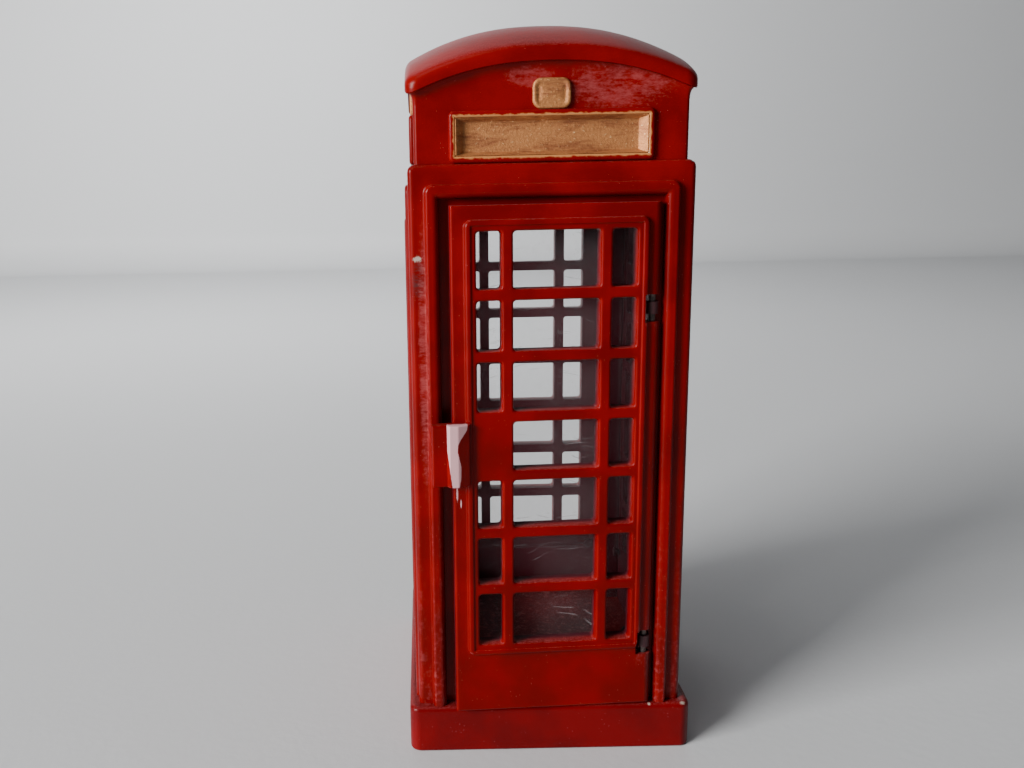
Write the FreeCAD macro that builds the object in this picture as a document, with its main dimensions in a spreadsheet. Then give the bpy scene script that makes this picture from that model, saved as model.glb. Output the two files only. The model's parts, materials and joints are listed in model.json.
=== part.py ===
import FreeCAD, Part
import Sketcher
import os
import re

# A miniature die-cast telephone booth with an opening door.
# Frame: origin at the middle of the underside, +X to the right of the door, -Y out of the door, +Z up.
# All sizes are in millimetres and degrees.

SIZES = {
    # plinth
    "base_ledge": 1.5,
    "base_height": 7.4,
    "base_wall": 2.0,
    "base_floor": 2.0,
    "base_corner": 1.6,
    "base_plate_thickness": 1.6,
    "base_plate_gap": 0.1,
    "counterbore_depth": 1.1,
    # cabin
    "body_width": 41.0,
    "body_height": 83.5,
    "body_corner": 0.8,
    "shell": 2.2,
    "corner_post": 4.0,
    "tab_length": 12.0,
    "tab_height": 1.0,
    "tab_thickness": 1.0,
    "tab_gap": 0.1,
    # raised mouldings round each side
    "frame_margin": 2.3,
    "frame_top_margin": 2.8,
    "frame_band": 2.05,
    "frame_proud": 1.0,
    "wall_frame_proud": 0.45,
    "field_band": 1.7,
    "field_proud": 0.7,
    # window grid
    "grid_top_drop": 9.4,
    "pane_wide": 12.5,
    "pane_narrow": 3.6,
    "mullion": 1.65,
    "bar_width": 1.6,
    "bar_drop": 0.2,
    "pane_height": 7.3,
    "end_pane_height": 8.2,
    "middle_rows": 5,
    "lock_row": 3,
    # door
    "door_thickness": 2.0,
    "door_proud": 1.5,
    "hinge_gap": 0.7,
    "latch_gap": 1.4,
    "door_top_gap": 0.9,
    "door_sill_gap": 0.35,
    "stop_overlap": 0.6,
    "stop_gap": 0.1,
    "ajar_angle": 3.0,
    # hinges
    "pin_diameter": 1.0,
    "pin_fit": 0.04,
    "pin_grip": 2.2,
    "pin_seat": 0.02,
    "pin_end_gap": 0.1,
    "spigot_diameter": 0.9,
    "notch_height": 4.0,
    "notch_clearance": 0.45,
    "lug_height": 1.8,
    "lug_radius": 0.9,
    "lug_edge_gap": 0.1,
    "upper_hinge_drop": 15.15,
    "lower_hinge_rise": 10.25,
    # handle
    "handle_width": 5.5,
    "handle_height": 9.3,
    "handle_thickness": 0.6,
    "handle_root_gap": 0.02,
    "handle_overhang": 3.1,
    "handle_drop": 1.9,
    "ridge_width": 1.7,
    "ridge_height": 0.7,
    "ridge_offset": 2.3,
    # glazing
    "glazing_thickness": 0.8,
    "glazing_lap": 2.4,
    "glazing_post_gap": 0.4,
    "door_glazing_lap": 1.5,
    "rivet_diameter": 1.0,
    "rivet_head": 1.7,
    "rivet_head_height": 0.4,
    "rivet_depth": 0.9,
    "rivet_inset": 0.9,
    "rivet_gap": 0.05,
    # pediment
    "head_setback": 1.0,
    "head_wall": 2.2,
    "ceiling": 1.6,
    "sign_width": 29.1,
    "sign_height": 7.2,
    "sign_lift": 0.05,
    "sign_proud": 0.7,
    "sign_border": 0.95,
    "tray_depth": 1.6,
    "tray_floor": 0.5,
    "tray_rim": 1.1,
    "tray_gap": 0.02,
    "emblem_width": 5.4,
    "emblem_height": 4.2,
    "emblem_thickness": 0.6,
    "emblem_corner": 1.2,
    "emblem_lift": 0.05,
    # roof
    "roof_overhang": 0.1,
    "roof_corner": 2.0,
    "roof_radius": 47.0,
    "crown_height": 20.85,
    "roof_thickness": 2.3,
    "roof_seat_gap": 0.02,
    # screws
    "screw_diameter": 2.0,
    "screw_head": 3.6,
    "screw_head_height": 1.0,
    "screw_slot": 0.5,
    "screw_slot_depth": 0.5,
    "screw_fit": 0.02,
    "screw_clearance": 0.2,
    "screw_tip_gap": 0.4,
    "screw_grip": 5.6,
    "boss_wall": 1.4,
    "roof_screw_spacing": 20.0,
    "roof_screw_grip": 5.0,
}

# Lengths worked out from the sizes above, by name, for use in expressions.
DERIVED = {
    "half_body": "body_width / 2",
    "base_half": "half_body + base_ledge",
    "inner_half": "half_body - shell",
    "body_top": "base_height + body_height",
    "frame_outer": "half_body - frame_margin",
    "frame_top": "body_top - frame_top_margin",
    "opening_half": "frame_outer - frame_band",
    "opening_top": "frame_top - frame_band",
    "grid_half": "pane_wide / 2 + mullion + pane_narrow",
    "grid_top": "body_top - grid_top_drop",
    "row_pitch": "pane_height + bar_width",
    "grid_bottom": "grid_top - 2 * end_pane_height - middle_rows * row_pitch - bar_width",
    "lock_bottom": "grid_top - end_pane_height - lock_row * row_pitch",
    "handle_bottom": "lock_bottom - handle_drop",
    "cabin_glazing_half": "inner_half - corner_post - glazing_post_gap",
    "door_glazing_half": "grid_half + door_glazing_lap",
    "field_outer": "grid_half + field_band",
    "door_front": "half_body + door_proud",
    "door_back": "door_front - door_thickness",
    "door_right": "opening_half - hinge_gap",
    "door_left": "-opening_half + latch_gap",
    "door_bottom": "base_height + door_sill_gap",
    "door_top": "opening_top - door_top_gap",
    "door_middle": "(door_right + door_left) / 2",
    "stop_plane": "door_back - stop_gap",
    "stop_half": "-door_left - stop_overlap",
    "stop_top": "door_top - stop_overlap",
    "upper_hinge_height": "door_top - upper_hinge_drop",
    "lower_hinge_height": "door_bottom + lower_hinge_rise",
    "hinge_x": "door_right - door_thickness / 2",
    "hinge_y": "-(door_front - door_thickness / 2)",
    "notch_depth": "door_thickness / 2 + notch_clearance",
    "post_middle": "inner_half - corner_post / 2",
    "base_inside": "base_half - base_wall",
    "plate_half": "base_inside - base_plate_gap",
    "base_underfloor": "base_height - base_floor",
    "head_half": "half_body - head_setback",
    "head_inner": "head_half - head_wall",
    "ceiling_top": "body_top + ceiling",
    "sign_bottom": "body_top + sign_lift",
    "sign_front": "head_half + sign_proud",
    "tray_front": "sign_front",
    "tray_back": "sign_front - tray_depth",
    "tray_half": "sign_width / 2 - sign_border",
    "tray_bottom": "sign_bottom + sign_border",
    "tray_top": "sign_bottom + sign_height - sign_border",
    "emblem_bottom": "sign_bottom + sign_height + emblem_lift",
    "roof_half": "half_body + roof_overhang",
    "crown_top": "body_top + crown_height",
    "sphere_middle": "crown_top - roof_radius",
    "under_radius": "roof_radius - roof_thickness",
    "boss_radius": "screw_diameter / 2 + boss_wall",
    "roof_screw": "roof_screw_spacing / 2",
    "tie_tip": "body_top + screw_grip",
    "lug_left": "stop_half + lug_edge_gap",
    "spigot_x": "(lug_left + hinge_x + lug_radius) / 2",
    "tab_near": "half_body - shell / 2 - tab_thickness / 2",
    "tab_far": "half_body - shell / 2 + tab_thickness / 2",
    "tab_slot_depth": "tab_height + tab_gap",
    "bore_diameter": "screw_diameter + 2 * screw_clearance",
    "pilot_diameter": "screw_diameter + 2 * screw_fit",
    "handle_left": "door_left - handle_overhang",
    "handle_right": "handle_left + handle_width",
    "handle_seat": "door_front + field_proud + handle_root_gap",
}

UP = FreeCAD.Vector(0, 0, 1)
HINGES = {"upper": "upper_hinge_height", "lower": "lower_hinge_height"}
ROUND_TURN = {"front": 0, "right": 90, "rear": 180, "left": 270}
POST_CORNERS = [(f"{x}post_middle", f"{y}post_middle") for x in "-+" for y in "-+"]
ROOF_CORNERS = [(f"{x}roof_screw", f"{y}roof_screw") for x in "-+" for y in "-+"]
# Each sheet of glazing as the plane it lies against, its middle, its half width and its lap.
CABIN_GLAZING = ("inner_half", "0", "cabin_glazing_half", "glazing_lap")
DOOR_GLAZING = ("door_back", "door_middle", "door_glazing_half", "door_glazing_lap")
TINY = 1e-6
CLOSE = 1e-4

doc = FreeCAD.newDocument("telephone_booth")
sheet = doc.addObject("Spreadsheet::Sheet", "sizes")
for row, (size_name, size) in enumerate(SIZES.items(), 1):
    sheet.set(f"A{row}", size_name)
    sheet.set(f"B{row}", str(size))
    sheet.setAlias(f"B{row}", size_name)
doc.recompute()

nodes = []


def formula(text):
    """The text with each derived name written out and each size pointed at its cell."""

    def replace(match):
        word = match.group(0)
        if word in DERIVED:
            return "(" + formula(DERIVED[word]) + ")"
        if word in SIZES:
            return "sizes." + word
        return word

    return re.sub(r"[a-z_]+", replace, text)


def bind(item, **properties):
    """Ties properties to formulas; two underscores in a name stand for a dot."""
    for name, text in properties.items():
        item.setExpression(name.replace("__", "."), formula(text))
    return item


def keep(item, label):
    """Marks a finished sub-part and gives it its name."""
    item.Label = label
    nodes.append(item)
    return item


# ---- sketches and features of a body ----


def new_body(name):
    return doc.addObject("PartDesign::Body", name + "_body")


def sketch(body, name, plane, offset):
    """A sketch on one of the body's own planes, moved out along the plane's normal."""
    support = next(f for f in body.Origin.OriginFeatures if f.Role == plane)
    drawing = body.newObject("Sketcher::SketchObject", name)
    drawing.AttachmentSupport = [(support, "")]
    drawing.MapMode = "FlatFace"
    bind(drawing, AttachmentOffset__Base__z=offset)
    return drawing


def hold(drawing, kind, geometry, point, text):
    """Holds a point at a formula's distance from the sketch's origin."""
    start = drawing.getPoint(geometry, point)
    value = start.x if kind == "DistanceX" else start.y
    index = drawing.addConstraint(Sketcher.Constraint(kind, -1, 1, geometry, point, value))
    drawing.setExpression(f"Constraints[{index}]", formula(text))


def rectangle(drawing, left, right, low, high):
    first = drawing.GeometryCount
    corners = [FreeCAD.Vector(x, y, 0) for x, y in ((-1, -1), (1, -1), (1, 1), (-1, 1))]
    for k in range(4):
        drawing.addGeometry(Part.LineSegment(corners[k], corners[(k + 1) % 4]), False)
    for k in range(4):
        drawing.addConstraint(Sketcher.Constraint("Coincident", first + k, 2, first + (k + 1) % 4, 1))
    for k in (0, 2):
        drawing.addConstraint(Sketcher.Constraint("Horizontal", first + k))
        drawing.addConstraint(Sketcher.Constraint("Vertical", first + k + 1))
    hold(drawing, "DistanceX", first, 1, left)
    hold(drawing, "DistanceX", first + 1, 1, right)
    hold(drawing, "DistanceY", first, 1, low)
    hold(drawing, "DistanceY", first + 2, 1, high)


def circle(drawing, x, y, diameter):
    index = drawing.GeometryCount
    drawing.addGeometry(Part.Circle(FreeCAD.Vector(1, 1, 0), UP, 1), False)
    hold(drawing, "DistanceX", index, 3, x)
    hold(drawing, "DistanceY", index, 3, y)
    size_at = drawing.addConstraint(Sketcher.Constraint("Diameter", index, 2.0))
    drawing.setExpression(f"Constraints[{size_at}]", formula(diameter))


def pad(body, drawing, length, back=False):
    feature = body.newObject("PartDesign::Pad", drawing.Name + "_pad")
    feature.Profile = drawing
    feature.Reversed = back
    bind(feature, Length=length)
    return feature


def pocket(body, drawing, depth):
    """Cuts against the sketch's normal, and makes sure that it did."""
    doc.recompute()
    before = body.Shape.Volume
    feature = body.newObject("PartDesign::Pocket", drawing.Name + "_pocket")
    feature.Profile = drawing
    bind(feature, Length=depth)
    doc.recompute()
    if body.Shape.Volume > before - TINY:
        raise RuntimeError(f"{drawing.Name} cuts nothing")
    return feature


def on_face(edge, whole, face):
    """Whether both ends of an edge lie on one face of the bounding box, such as XMax."""
    axis = face[0].lower()
    return all(abs(getattr(end.Point, axis) - getattr(whole, face)) < CLOSE for end in edge.Vertexes)


def round_upright(body, name, radius, face=None):
    """Rounds the upright edges, or only those on one face of the bounding box."""
    doc.recompute()
    base = body.Tip
    whole = base.Shape.BoundBox
    names = []
    for k, edge in enumerate(base.Shape.Edges, 1):
        stands = abs(edge.tangentAt(edge.FirstParameter).z) > 1 - TINY
        if stands and (face is None or on_face(edge, whole, face)):
            names.append(f"Edge{k}")
    feature = body.newObject("PartDesign::Fillet", name)
    feature.Base = (base, names)
    bind(feature, Radius=radius)


def turn(item, side):
    """Turns an item that is made as a front piece to its own side of the cabin."""
    item.Placement = FreeCAD.Placement(FreeCAD.Vector(), FreeCAD.Rotation(UP, ROUND_TURN[side]))
    return item


def hang(item):
    """Turns an item of the closed door about the hinge to where the door stands ajar."""
    item.Placement = FreeCAD.Placement(FreeCAD.Vector(), FreeCAD.Rotation(UP, 1))
    return bind(
        item,
        Placement__Rotation__Angle="ajar_angle",
        Placement__Base__x="hinge_x - hinge_x * cos(ajar_angle) + hinge_y * sin(ajar_angle)",
        Placement__Base__y="hinge_y - hinge_x * sin(ajar_angle) - hinge_y * cos(ajar_angle)",
    )


# ---- primitives ----


def box(name, x, y, z, length, width, height):
    item = doc.addObject("Part::Box", name)
    bind(item, Length=length, Width=width, Height=height)
    return bind(item, Placement__Base__x=x, Placement__Base__y=y, Placement__Base__z=z)


def centred_box(name, z, length, width, height):
    return box(name, f"-({length}) / 2", f"-({width}) / 2", z, length, width, height)


def cylinder(name, x, y, z, diameter, height):
    item = doc.addObject("Part::Cylinder", name)
    bind(item, Radius=f"({diameter}) / 2", Height=height)
    return bind(item, Placement__Base__x=x, Placement__Base__y=y, Placement__Base__z=z)


def lying_cylinder(name, x, y, z, diameter, length):
    """A cylinder whose axis points along +Y from its start."""
    item = doc.addObject("Part::Cylinder", name)
    item.Placement = FreeCAD.Placement(FreeCAD.Vector(), FreeCAD.Rotation(FreeCAD.Vector(1, 0, 0), -90))
    bind(item, Radius=f"({diameter}) / 2", Height=length)
    return bind(item, Placement__Base__x=x, Placement__Base__y=y, Placement__Base__z=z)


def sphere(name, radius):
    item = doc.addObject("Part::Sphere", name)
    bind(item, Radius=radius)
    return bind(item, Placement__Base__z="sphere_middle")


def fuse(name, *parts):
    item = doc.addObject("Part::MultiFuse", name)
    item.Shapes = list(parts)
    return item


def common(name, *parts):
    item = doc.addObject("Part::MultiCommon", name)
    item.Shapes = list(parts)
    return item


def cut(name, base, tool):
    item = doc.addObject("Part::Cut", name)
    item.Base = base
    item.Tool = tool
    return item


def group(name, parts):
    item = doc.addObject("Part::Compound", name + "_group")
    item.Links = list(parts)
    return item


# ---- shared stretches of the castings ----


def grid_rows(body, name, front, depth, middle):
    """Three columns of panes: an end row at the top, a pattern of middle rows, and an end row."""
    inner = "pane_wide / 2"
    columns = [
        (f"{middle} - grid_half", f"{middle} - {inner} - mullion"),
        (f"{middle} - {inner}", f"{middle} + {inner}"),
        (f"{middle} + {inner} + mullion", f"{middle} + grid_half"),
    ]
    rows = {
        "top_row": ("grid_top - end_pane_height", "grid_top"),
        "bottom_row": ("grid_bottom", "grid_bottom + end_pane_height"),
        "middle_row": ("grid_top - end_pane_height - row_pitch", "grid_top - end_pane_height - bar_width"),
    }
    for row, (low, high) in rows.items():
        drawing = sketch(body, f"{name}_{row}", "XZ_Plane", front)
        for left, right in columns:
            rectangle(drawing, left, right, low, high)
        feature = pocket(body, drawing, depth)
    pattern = body.newObject("PartDesign::LinearPattern", f"{name}_rows")
    pattern.Originals = [feature]
    pattern.Direction = (drawing, ["V_Axis"])
    pattern.Reversed = True
    bind(pattern, Occurrences="middle_rows", Length="(middle_rows - 1) * row_pitch")
    body.Tip = pattern
    doc.recompute()


def field_moulding(body, name, front, middle):
    """A raised band round the window grid, whose bars stand a little lower than the band."""
    band = sketch(body, name, "XZ_Plane", front)
    outer = (f"{middle} - field_outer", f"{middle} + field_outer")
    rectangle(band, *outer, "grid_bottom - field_band", "grid_top + field_band")
    pad(body, band, "field_proud")
    bars = sketch(body, f"{name}_bars", "XZ_Plane", f"{front} + field_proud")
    rectangle(bars, f"{middle} - grid_half", f"{middle} + grid_half", "grid_bottom", "grid_top")
    pocket(body, bars, "bar_drop")


def rivet_points(middle, half, lap):
    """The four rivets in the corners of a glazing sheet, as x and z."""
    levels = (f"grid_bottom - {lap} + rivet_inset", f"grid_top + {lap} - rivet_inset")
    return [(f"{middle} {sign} ({half} - rivet_inset)", level) for sign in "-+" for level in levels]


def rivet_holes(body, name, plane, middle, half, lap):
    """Four blind holes for the glazing rivets, cut outwards from the inner face."""
    drawing = sketch(body, name, "XZ_Plane", f"{plane} + rivet_depth")
    for x, z in rivet_points(middle, half, lap):
        circle(drawing, x, z, "rivet_diameter + 2 * rivet_gap")
    pocket(body, drawing, "rivet_depth")


def glazing_sheet(body, plane, middle, half, lap):
    """A clear sheet against the inner face, larger than the window grid, with rivet holes."""
    outline = sketch(body, body.Name + "_outline", "XZ_Plane", plane)
    left, right = f"{middle} - {half}", f"{middle} + {half}"
    rectangle(outline, left, right, f"grid_bottom - {lap}", f"grid_top + {lap}")
    for x, z in rivet_points(middle, half, lap):
        circle(outline, x, z, "rivet_diameter + 2 * rivet_gap")
    pad(body, outline, "glazing_thickness", back=True)


def corner_posts(body, name):
    """Two posts in the inner corners, bored for the tie screws."""
    drawing = sketch(body, name, "XY_Plane", "base_height")
    depth = ("-inner_half", "-inner_half + corner_post")
    rectangle(drawing, "-inner_half", "-inner_half + corner_post", *depth)
    rectangle(drawing, "inner_half - corner_post", "inner_half", *depth)
    pad(body, drawing, "body_height")
    bores = sketch(body, name + "_bore", "XY_Plane", "body_top")
    for x in ("-post_middle", "post_middle"):
        circle(bores, x, "-post_middle", "bore_diameter")
    pocket(body, bores, "body_height")


# ---- sub-parts ----


def base_plinth():
    body = new_body("plinth")
    outline = sketch(body, "plinth_outline", "XY_Plane", "0")
    rectangle(outline, *["-base_half", "base_half"] * 2)
    pad(body, outline, "base_height")
    round_upright(body, "plinth_corners", "base_corner")
    hollow = sketch(body, "plinth_hollow", "XY_Plane", "base_underfloor")
    rectangle(hollow, *["-base_inside", "base_inside"] * 2)
    pocket(body, hollow, "base_underfloor")
    bosses = sketch(body, "plinth_bosses", "XY_Plane", "base_plate_thickness")
    for x, y in POST_CORNERS:
        circle(bosses, x, y, "2 * boss_radius")
    pad(body, bosses, "base_underfloor - base_plate_thickness")
    bores = sketch(body, "plinth_bores", "XY_Plane", "base_height")
    for x, y in POST_CORNERS:
        circle(bores, x, y, "bore_diameter")
    pocket(body, bores, "base_height")
    slots = sketch(body, "plinth_slots", "XY_Plane", "base_height")
    near, far = "tab_near - tab_gap", "tab_far + tab_gap"
    ends = ("-tab_length / 2 - tab_gap", "tab_length / 2 + tab_gap")
    rectangle(slots, f"-({far})", f"-({near})", *ends)
    rectangle(slots, near, far, *ends)
    pocket(body, slots, "tab_slot_depth")
    keep(body, "base_plinth")


def base_plate():
    """The plate that closes the plinth flush with its rim, counterbored for the tie screws' heads."""
    body = new_body("plate")
    outline = sketch(body, "plate_outline", "XY_Plane", "0")
    rectangle(outline, *["-plate_half", "plate_half"] * 2)
    for x, y in POST_CORNERS:
        circle(outline, x, y, "bore_diameter")
    pad(body, outline, "base_plate_thickness")
    counterbores = sketch(body, "plate_counterbores", "XY_Plane", "counterbore_depth")
    for x, y in POST_CORNERS:
        circle(counterbores, x, y, "screw_head + 2 * screw_clearance")
    pocket(body, counterbores, "counterbore_depth")
    keep(body, "base_plate")


def front_frame():
    body = new_body("front")
    outline = sketch(body, "front_outline", "XZ_Plane", "half_body")
    rectangle(outline, "-half_body", "half_body", "base_height", "body_top")
    pad(body, outline, "shell", back=True)
    round_upright(body, "front_corners", "body_corner", "YMin")
    raised = sketch(body, "front_moulding", "XZ_Plane", "half_body")
    rectangle(raised, "-frame_outer", "frame_outer", "base_height", "frame_top")
    pad(body, raised, "frame_proud")
    rebate = sketch(body, "front_rebate", "XZ_Plane", "half_body + frame_proud")
    rectangle(rebate, "-opening_half", "opening_half", "base_height", "opening_top")
    pocket(body, rebate, "half_body + frame_proud - stop_plane")
    doorway = sketch(body, "front_doorway", "XZ_Plane", "half_body")
    rectangle(doorway, "-stop_half", "stop_half", "base_height", "stop_top")
    pocket(body, doorway, "shell")
    spigots = sketch(body, "front_spigot_holes", "XZ_Plane", "stop_plane")
    for height in HINGES.values():
        circle(spigots, "spigot_x", height, "spigot_diameter + 2 * pin_seat")
    pocket(body, spigots, "stop_plane - inner_half")
    corner_posts(body, "front_posts")
    keep(body, "front_frame")


def wall(side, half_width, posts):
    """A fixed side of the cabin with its window grid: the rear one has the posts, the others have tabs."""
    name = f"{side}_wall"
    body = new_body(name)
    outline = sketch(body, f"{name}_outline", "XZ_Plane", "half_body")
    rectangle(outline, f"-({half_width})", half_width, "base_height", "body_top")
    pad(body, outline, "shell", back=True)
    if posts:
        round_upright(body, f"{name}_corners", "body_corner", "YMin")
    outer = ("-frame_outer", "frame_outer", "base_height", "frame_top")
    inner = ("-opening_half", "opening_half", "base_height", "opening_top")
    portal = sketch(body, f"{name}_moulding", "XZ_Plane", "half_body")
    rectangle(portal, *outer)
    pad(body, portal, "wall_frame_proud")
    recess = sketch(body, f"{name}_recess", "XZ_Plane", "half_body + wall_frame_proud")
    rectangle(recess, *inner)
    pocket(body, recess, "wall_frame_proud")
    field_moulding(body, f"{name}_field", "half_body", "0")
    grid_rows(body, name, "half_body + field_proud", "shell + field_proud", "0")
    rivet_holes(body, f"{name}_rivet_holes", *CABIN_GLAZING)
    if posts:
        corner_posts(body, f"{name}_posts")
    else:
        for level, height in (("top", "body_top"), ("bottom", "base_height - tab_height")):
            tab = sketch(body, f"{name}_{level}_tab", "XY_Plane", height)
            rectangle(tab, "-tab_length / 2", "tab_length / 2", "-tab_far", "-tab_near")
            pad(body, tab, "tab_height")
    keep(turn(body, side), name)


def glazing(side):
    body = new_body(f"{side}_glazing")
    glazing_sheet(body, *CABIN_GLAZING)
    keep(turn(body, side), f"{side}_glazing")


def rivet(name, x, z, plane):
    """A peened peg: a head on the glazing and a shank through it into the casting."""
    start = f"-({plane} + rivet_depth)"
    sheet_back = f"-({plane} - glazing_thickness)"
    shank = lying_cylinder(f"{name}_shank", x, start, z, "rivet_diameter", f"({sheet_back}) - ({start})")
    head = lying_cylinder(f"{name}_head", x, sheet_back, z, "rivet_head", "rivet_head_height")
    return fuse(name, shank, head)


def glazing_rivets(side, plane, middle, half, lap, place):
    name = f"{side}_glazing_rivets"
    points = enumerate(rivet_points(middle, half, lap))
    pegs = [rivet(f"{name}_{k}", x, z, plane) for k, (x, z) in points]
    keep(place(group(name, pegs)), name)


def head_casting():
    """A square box whose top follows the underside of the roof, with a sign box on each side."""
    tall = "crown_height"
    block = centred_box("head_block", "body_top", "2 * head_half", "2 * head_half", tall)
    signs = [
        centred_box("head_sign_y", "sign_bottom", "sign_width", "2 * sign_front", "sign_height"),
        centred_box("head_sign_x", "sign_bottom", "2 * sign_front", "sign_width", "sign_height"),
    ]
    under = sphere("head_under_roof", "under_radius - roof_seat_gap")
    outer = fuse("head_outer", common("head_arched", block, under), *signs)
    hollow = centred_box("head_hollow", "ceiling_top", "2 * head_inner", "2 * head_inner", tall)
    shell = cut("head_shell", outer, fuse("head_removed", hollow, *sign_recesses()))
    pilot_depth = "screw_grip + screw_tip_gap"
    bosses, bores = [], []
    for k, at in enumerate(POST_CORNERS):
        boss_height = f"ceiling + {pilot_depth}"
        bosses.append(cylinder(f"head_boss_{k}", *at, "body_top", "2 * boss_radius", boss_height))
        bores.append(cylinder(f"head_pilot_{k}", *at, "body_top", "pilot_diameter", pilot_depth))
    for k, at in enumerate(ROOF_CORNERS):
        bores.append(cylinder(f"head_hole_{k}", *at, "body_top", "bore_diameter", "ceiling"))
    trimmed = common("head_bosses", fuse("head_boss_set", *bosses), under)
    solid = fuse("head_with_bosses", shell, trimmed)
    keep(cut("head", solid, fuse("head_bores", head_slots(), *bores)), "head_casting")


def sign_recesses():
    """The pockets in the four sign boxes that the trays fill."""
    wide, height = "2 * tray_half", "tray_top - tray_bottom"
    recesses = []
    for name, start in (("near", "-tray_front"), ("far", "tray_back")):
        along_y = ("-tray_half", start, "tray_bottom", wide, "tray_depth", height)
        along_x = (start, "-tray_half", "tray_bottom", "tray_depth", wide, height)
        recesses.append(box(f"head_recess_y_{name}", *along_y))
        recesses.append(box(f"head_recess_x_{name}", *along_x))
    return recesses


def head_slots():
    """The two slots that the side walls' upper tabs stand in."""
    length = "tab_length + 2 * tab_gap"
    span, land = "2 * (tab_far + tab_gap)", "2 * (tab_near - tab_gap)"
    whole = centred_box("head_slot_span", "body_top", span, length, "tab_slot_depth")
    return cut("head_slots", whole, centred_box("head_slot_land", "body_top", land, length, "tab_slot_depth"))


def roof_dome():
    """A spherical cap on a square plan, an even shell, with four bosses down to the ceiling."""
    body = new_body("roof_plan")
    plan = sketch(body, "roof_outline", "XY_Plane", "body_top")
    rectangle(plan, *["-roof_half", "roof_half"] * 2)
    pad(body, plan, "crown_height")
    round_upright(body, "roof_corners", "roof_corner")
    outside, inside = sphere("roof_outside", "roof_radius"), sphere("roof_inside", "under_radius")
    cap = cut("roof_cap", common("roof_solid", body, outside), inside)
    bosses, bores = [], []
    boss_height, pilot_depth = "crown_height - ceiling", "roof_screw_grip + screw_tip_gap"
    for k, at in enumerate(ROOF_CORNERS):
        bosses.append(cylinder(f"roof_boss_{k}", *at, "ceiling_top", "2 * boss_radius", boss_height))
        bores.append(cylinder(f"roof_pilot_{k}", *at, "ceiling_top", "pilot_diameter", pilot_depth))
    middle_of_shell = sphere("roof_mid_shell", "roof_radius - roof_thickness / 2")
    trimmed = common("roof_bosses", fuse("roof_boss_set", *bosses), middle_of_shell)
    keep(cut("roof", fuse("roof_with_bosses", cap, trimmed), fuse("roof_bores", *bores)), "roof_dome")


def screw(name, x, y, seat, length):
    """A pan-head screw that points up, with its head below the seat and a driver slot across it."""
    head = cylinder(f"{name}_head", x, y, f"{seat} - screw_head_height", "screw_head", "screw_head_height")
    shank = cylinder(f"{name}_shank", x, y, seat, "screw_diameter", length)
    slot = box(
        f"{name}_slot",
        f"{x} - screw_head",
        f"{y} - screw_slot / 2",
        f"{seat} - screw_head_height",
        "2 * screw_head",
        "screw_slot",
        "screw_slot_depth",
    )
    return cut(name, fuse(f"{name}_blank", head, shank), slot)


def four_screws(name, corners, seat, length):
    keep(group(name, [screw(f"{name}_{k}", x, y, seat, length) for k, (x, y) in enumerate(corners)]), name)


def sign(side):
    """A shallow tray that lines the sign box."""
    body = new_body(f"{side}_sign")
    plate = sketch(body, f"{side}_sign_outline", "XZ_Plane", "tray_back")
    edges = ("tray_half - tray_gap", "tray_bottom + tray_gap", "tray_top - tray_gap")
    rectangle(plate, f"-({edges[0]})", *edges)
    pad(body, plate, "tray_depth")
    recess = sketch(body, f"{side}_sign_recess", "XZ_Plane", "tray_front")
    across = ("-(tray_half - tray_rim)", "tray_half - tray_rim")
    rectangle(recess, *across, "tray_bottom + tray_rim / 2", "tray_top - tray_rim / 2")
    pocket(body, recess, "tray_depth - tray_floor")
    keep(turn(body, side), f"{side}_sign")


def emblem(side):
    """A plain eight-sided cartouche on the face of the pediment."""
    body = new_body(f"{side}_emblem")
    outline = sketch(body, f"{side}_emblem_outline", "XZ_Plane", "head_half")
    heights = ("emblem_bottom", "emblem_bottom + emblem_height")
    rectangle(outline, "-emblem_width / 2", "emblem_width / 2", *heights)
    block = pad(body, outline, "emblem_thickness")
    doc.recompute()
    crosswise = [
        f"Edge{k}"
        for k, edge in enumerate(block.Shape.Edges, 1)
        if abs(edge.tangentAt(edge.FirstParameter).y) > 1 - TINY
    ]
    chamfer = body.newObject("PartDesign::Chamfer", f"{side}_emblem_corners")
    chamfer.Base = (block, crosswise)
    bind(chamfer, Size="emblem_corner")
    keep(turn(body, side), f"{side}_emblem")


def door_casting():
    """The closed door: a slab with a moulding, the window grid, a solid lock panel and a hinge edge."""
    body = new_body("door")
    outline = sketch(body, "door_outline", "XZ_Plane", "door_front")
    rectangle(outline, "door_left", "door_right", "door_bottom", "door_top")
    pad(body, outline, "door_thickness", back=True)
    round_upright(body, "door_hinge_edge", "door_thickness / 2 - pin_fit", "XMax")
    field_moulding(body, "door_field", "door_front", "door_middle")
    grid_rows(body, "door", "door_front + field_proud", "door_thickness + field_proud", "door_middle")
    lock = sketch(body, "door_lock_panel", "XZ_Plane", "door_back")
    left = "door_middle - grid_half"
    rectangle(lock, left, f"{left} + pane_narrow", "lock_bottom", "lock_bottom + pane_height")
    pad(body, lock, "door_thickness + field_proud - bar_drop")
    for level, height in HINGES.items():
        notch = sketch(body, f"door_{level}_notch", "XZ_Plane", "door_front")
        low, high = f"{height} - notch_height / 2", f"{height} + notch_height / 2"
        rectangle(notch, "hinge_x - notch_depth", "opening_half", low, high)
        pocket(body, notch, "door_thickness")
        bore = sketch(body, f"door_{level}_bore", "XY_Plane", f"{high} + pin_grip")
        circle(bore, "hinge_x", "hinge_y", "pin_diameter + 2 * pin_fit")
        pocket(body, bore, "notch_height + 2 * pin_grip")
    rivet_holes(body, "door_rivet_holes", *DOOR_GLAZING)
    keep(hang(body), "door_casting")


def door_glazing():
    body = new_body("door_glazing")
    glazing_sheet(body, *DOOR_GLAZING)
    keep(hang(body), "door_glazing")


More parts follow.
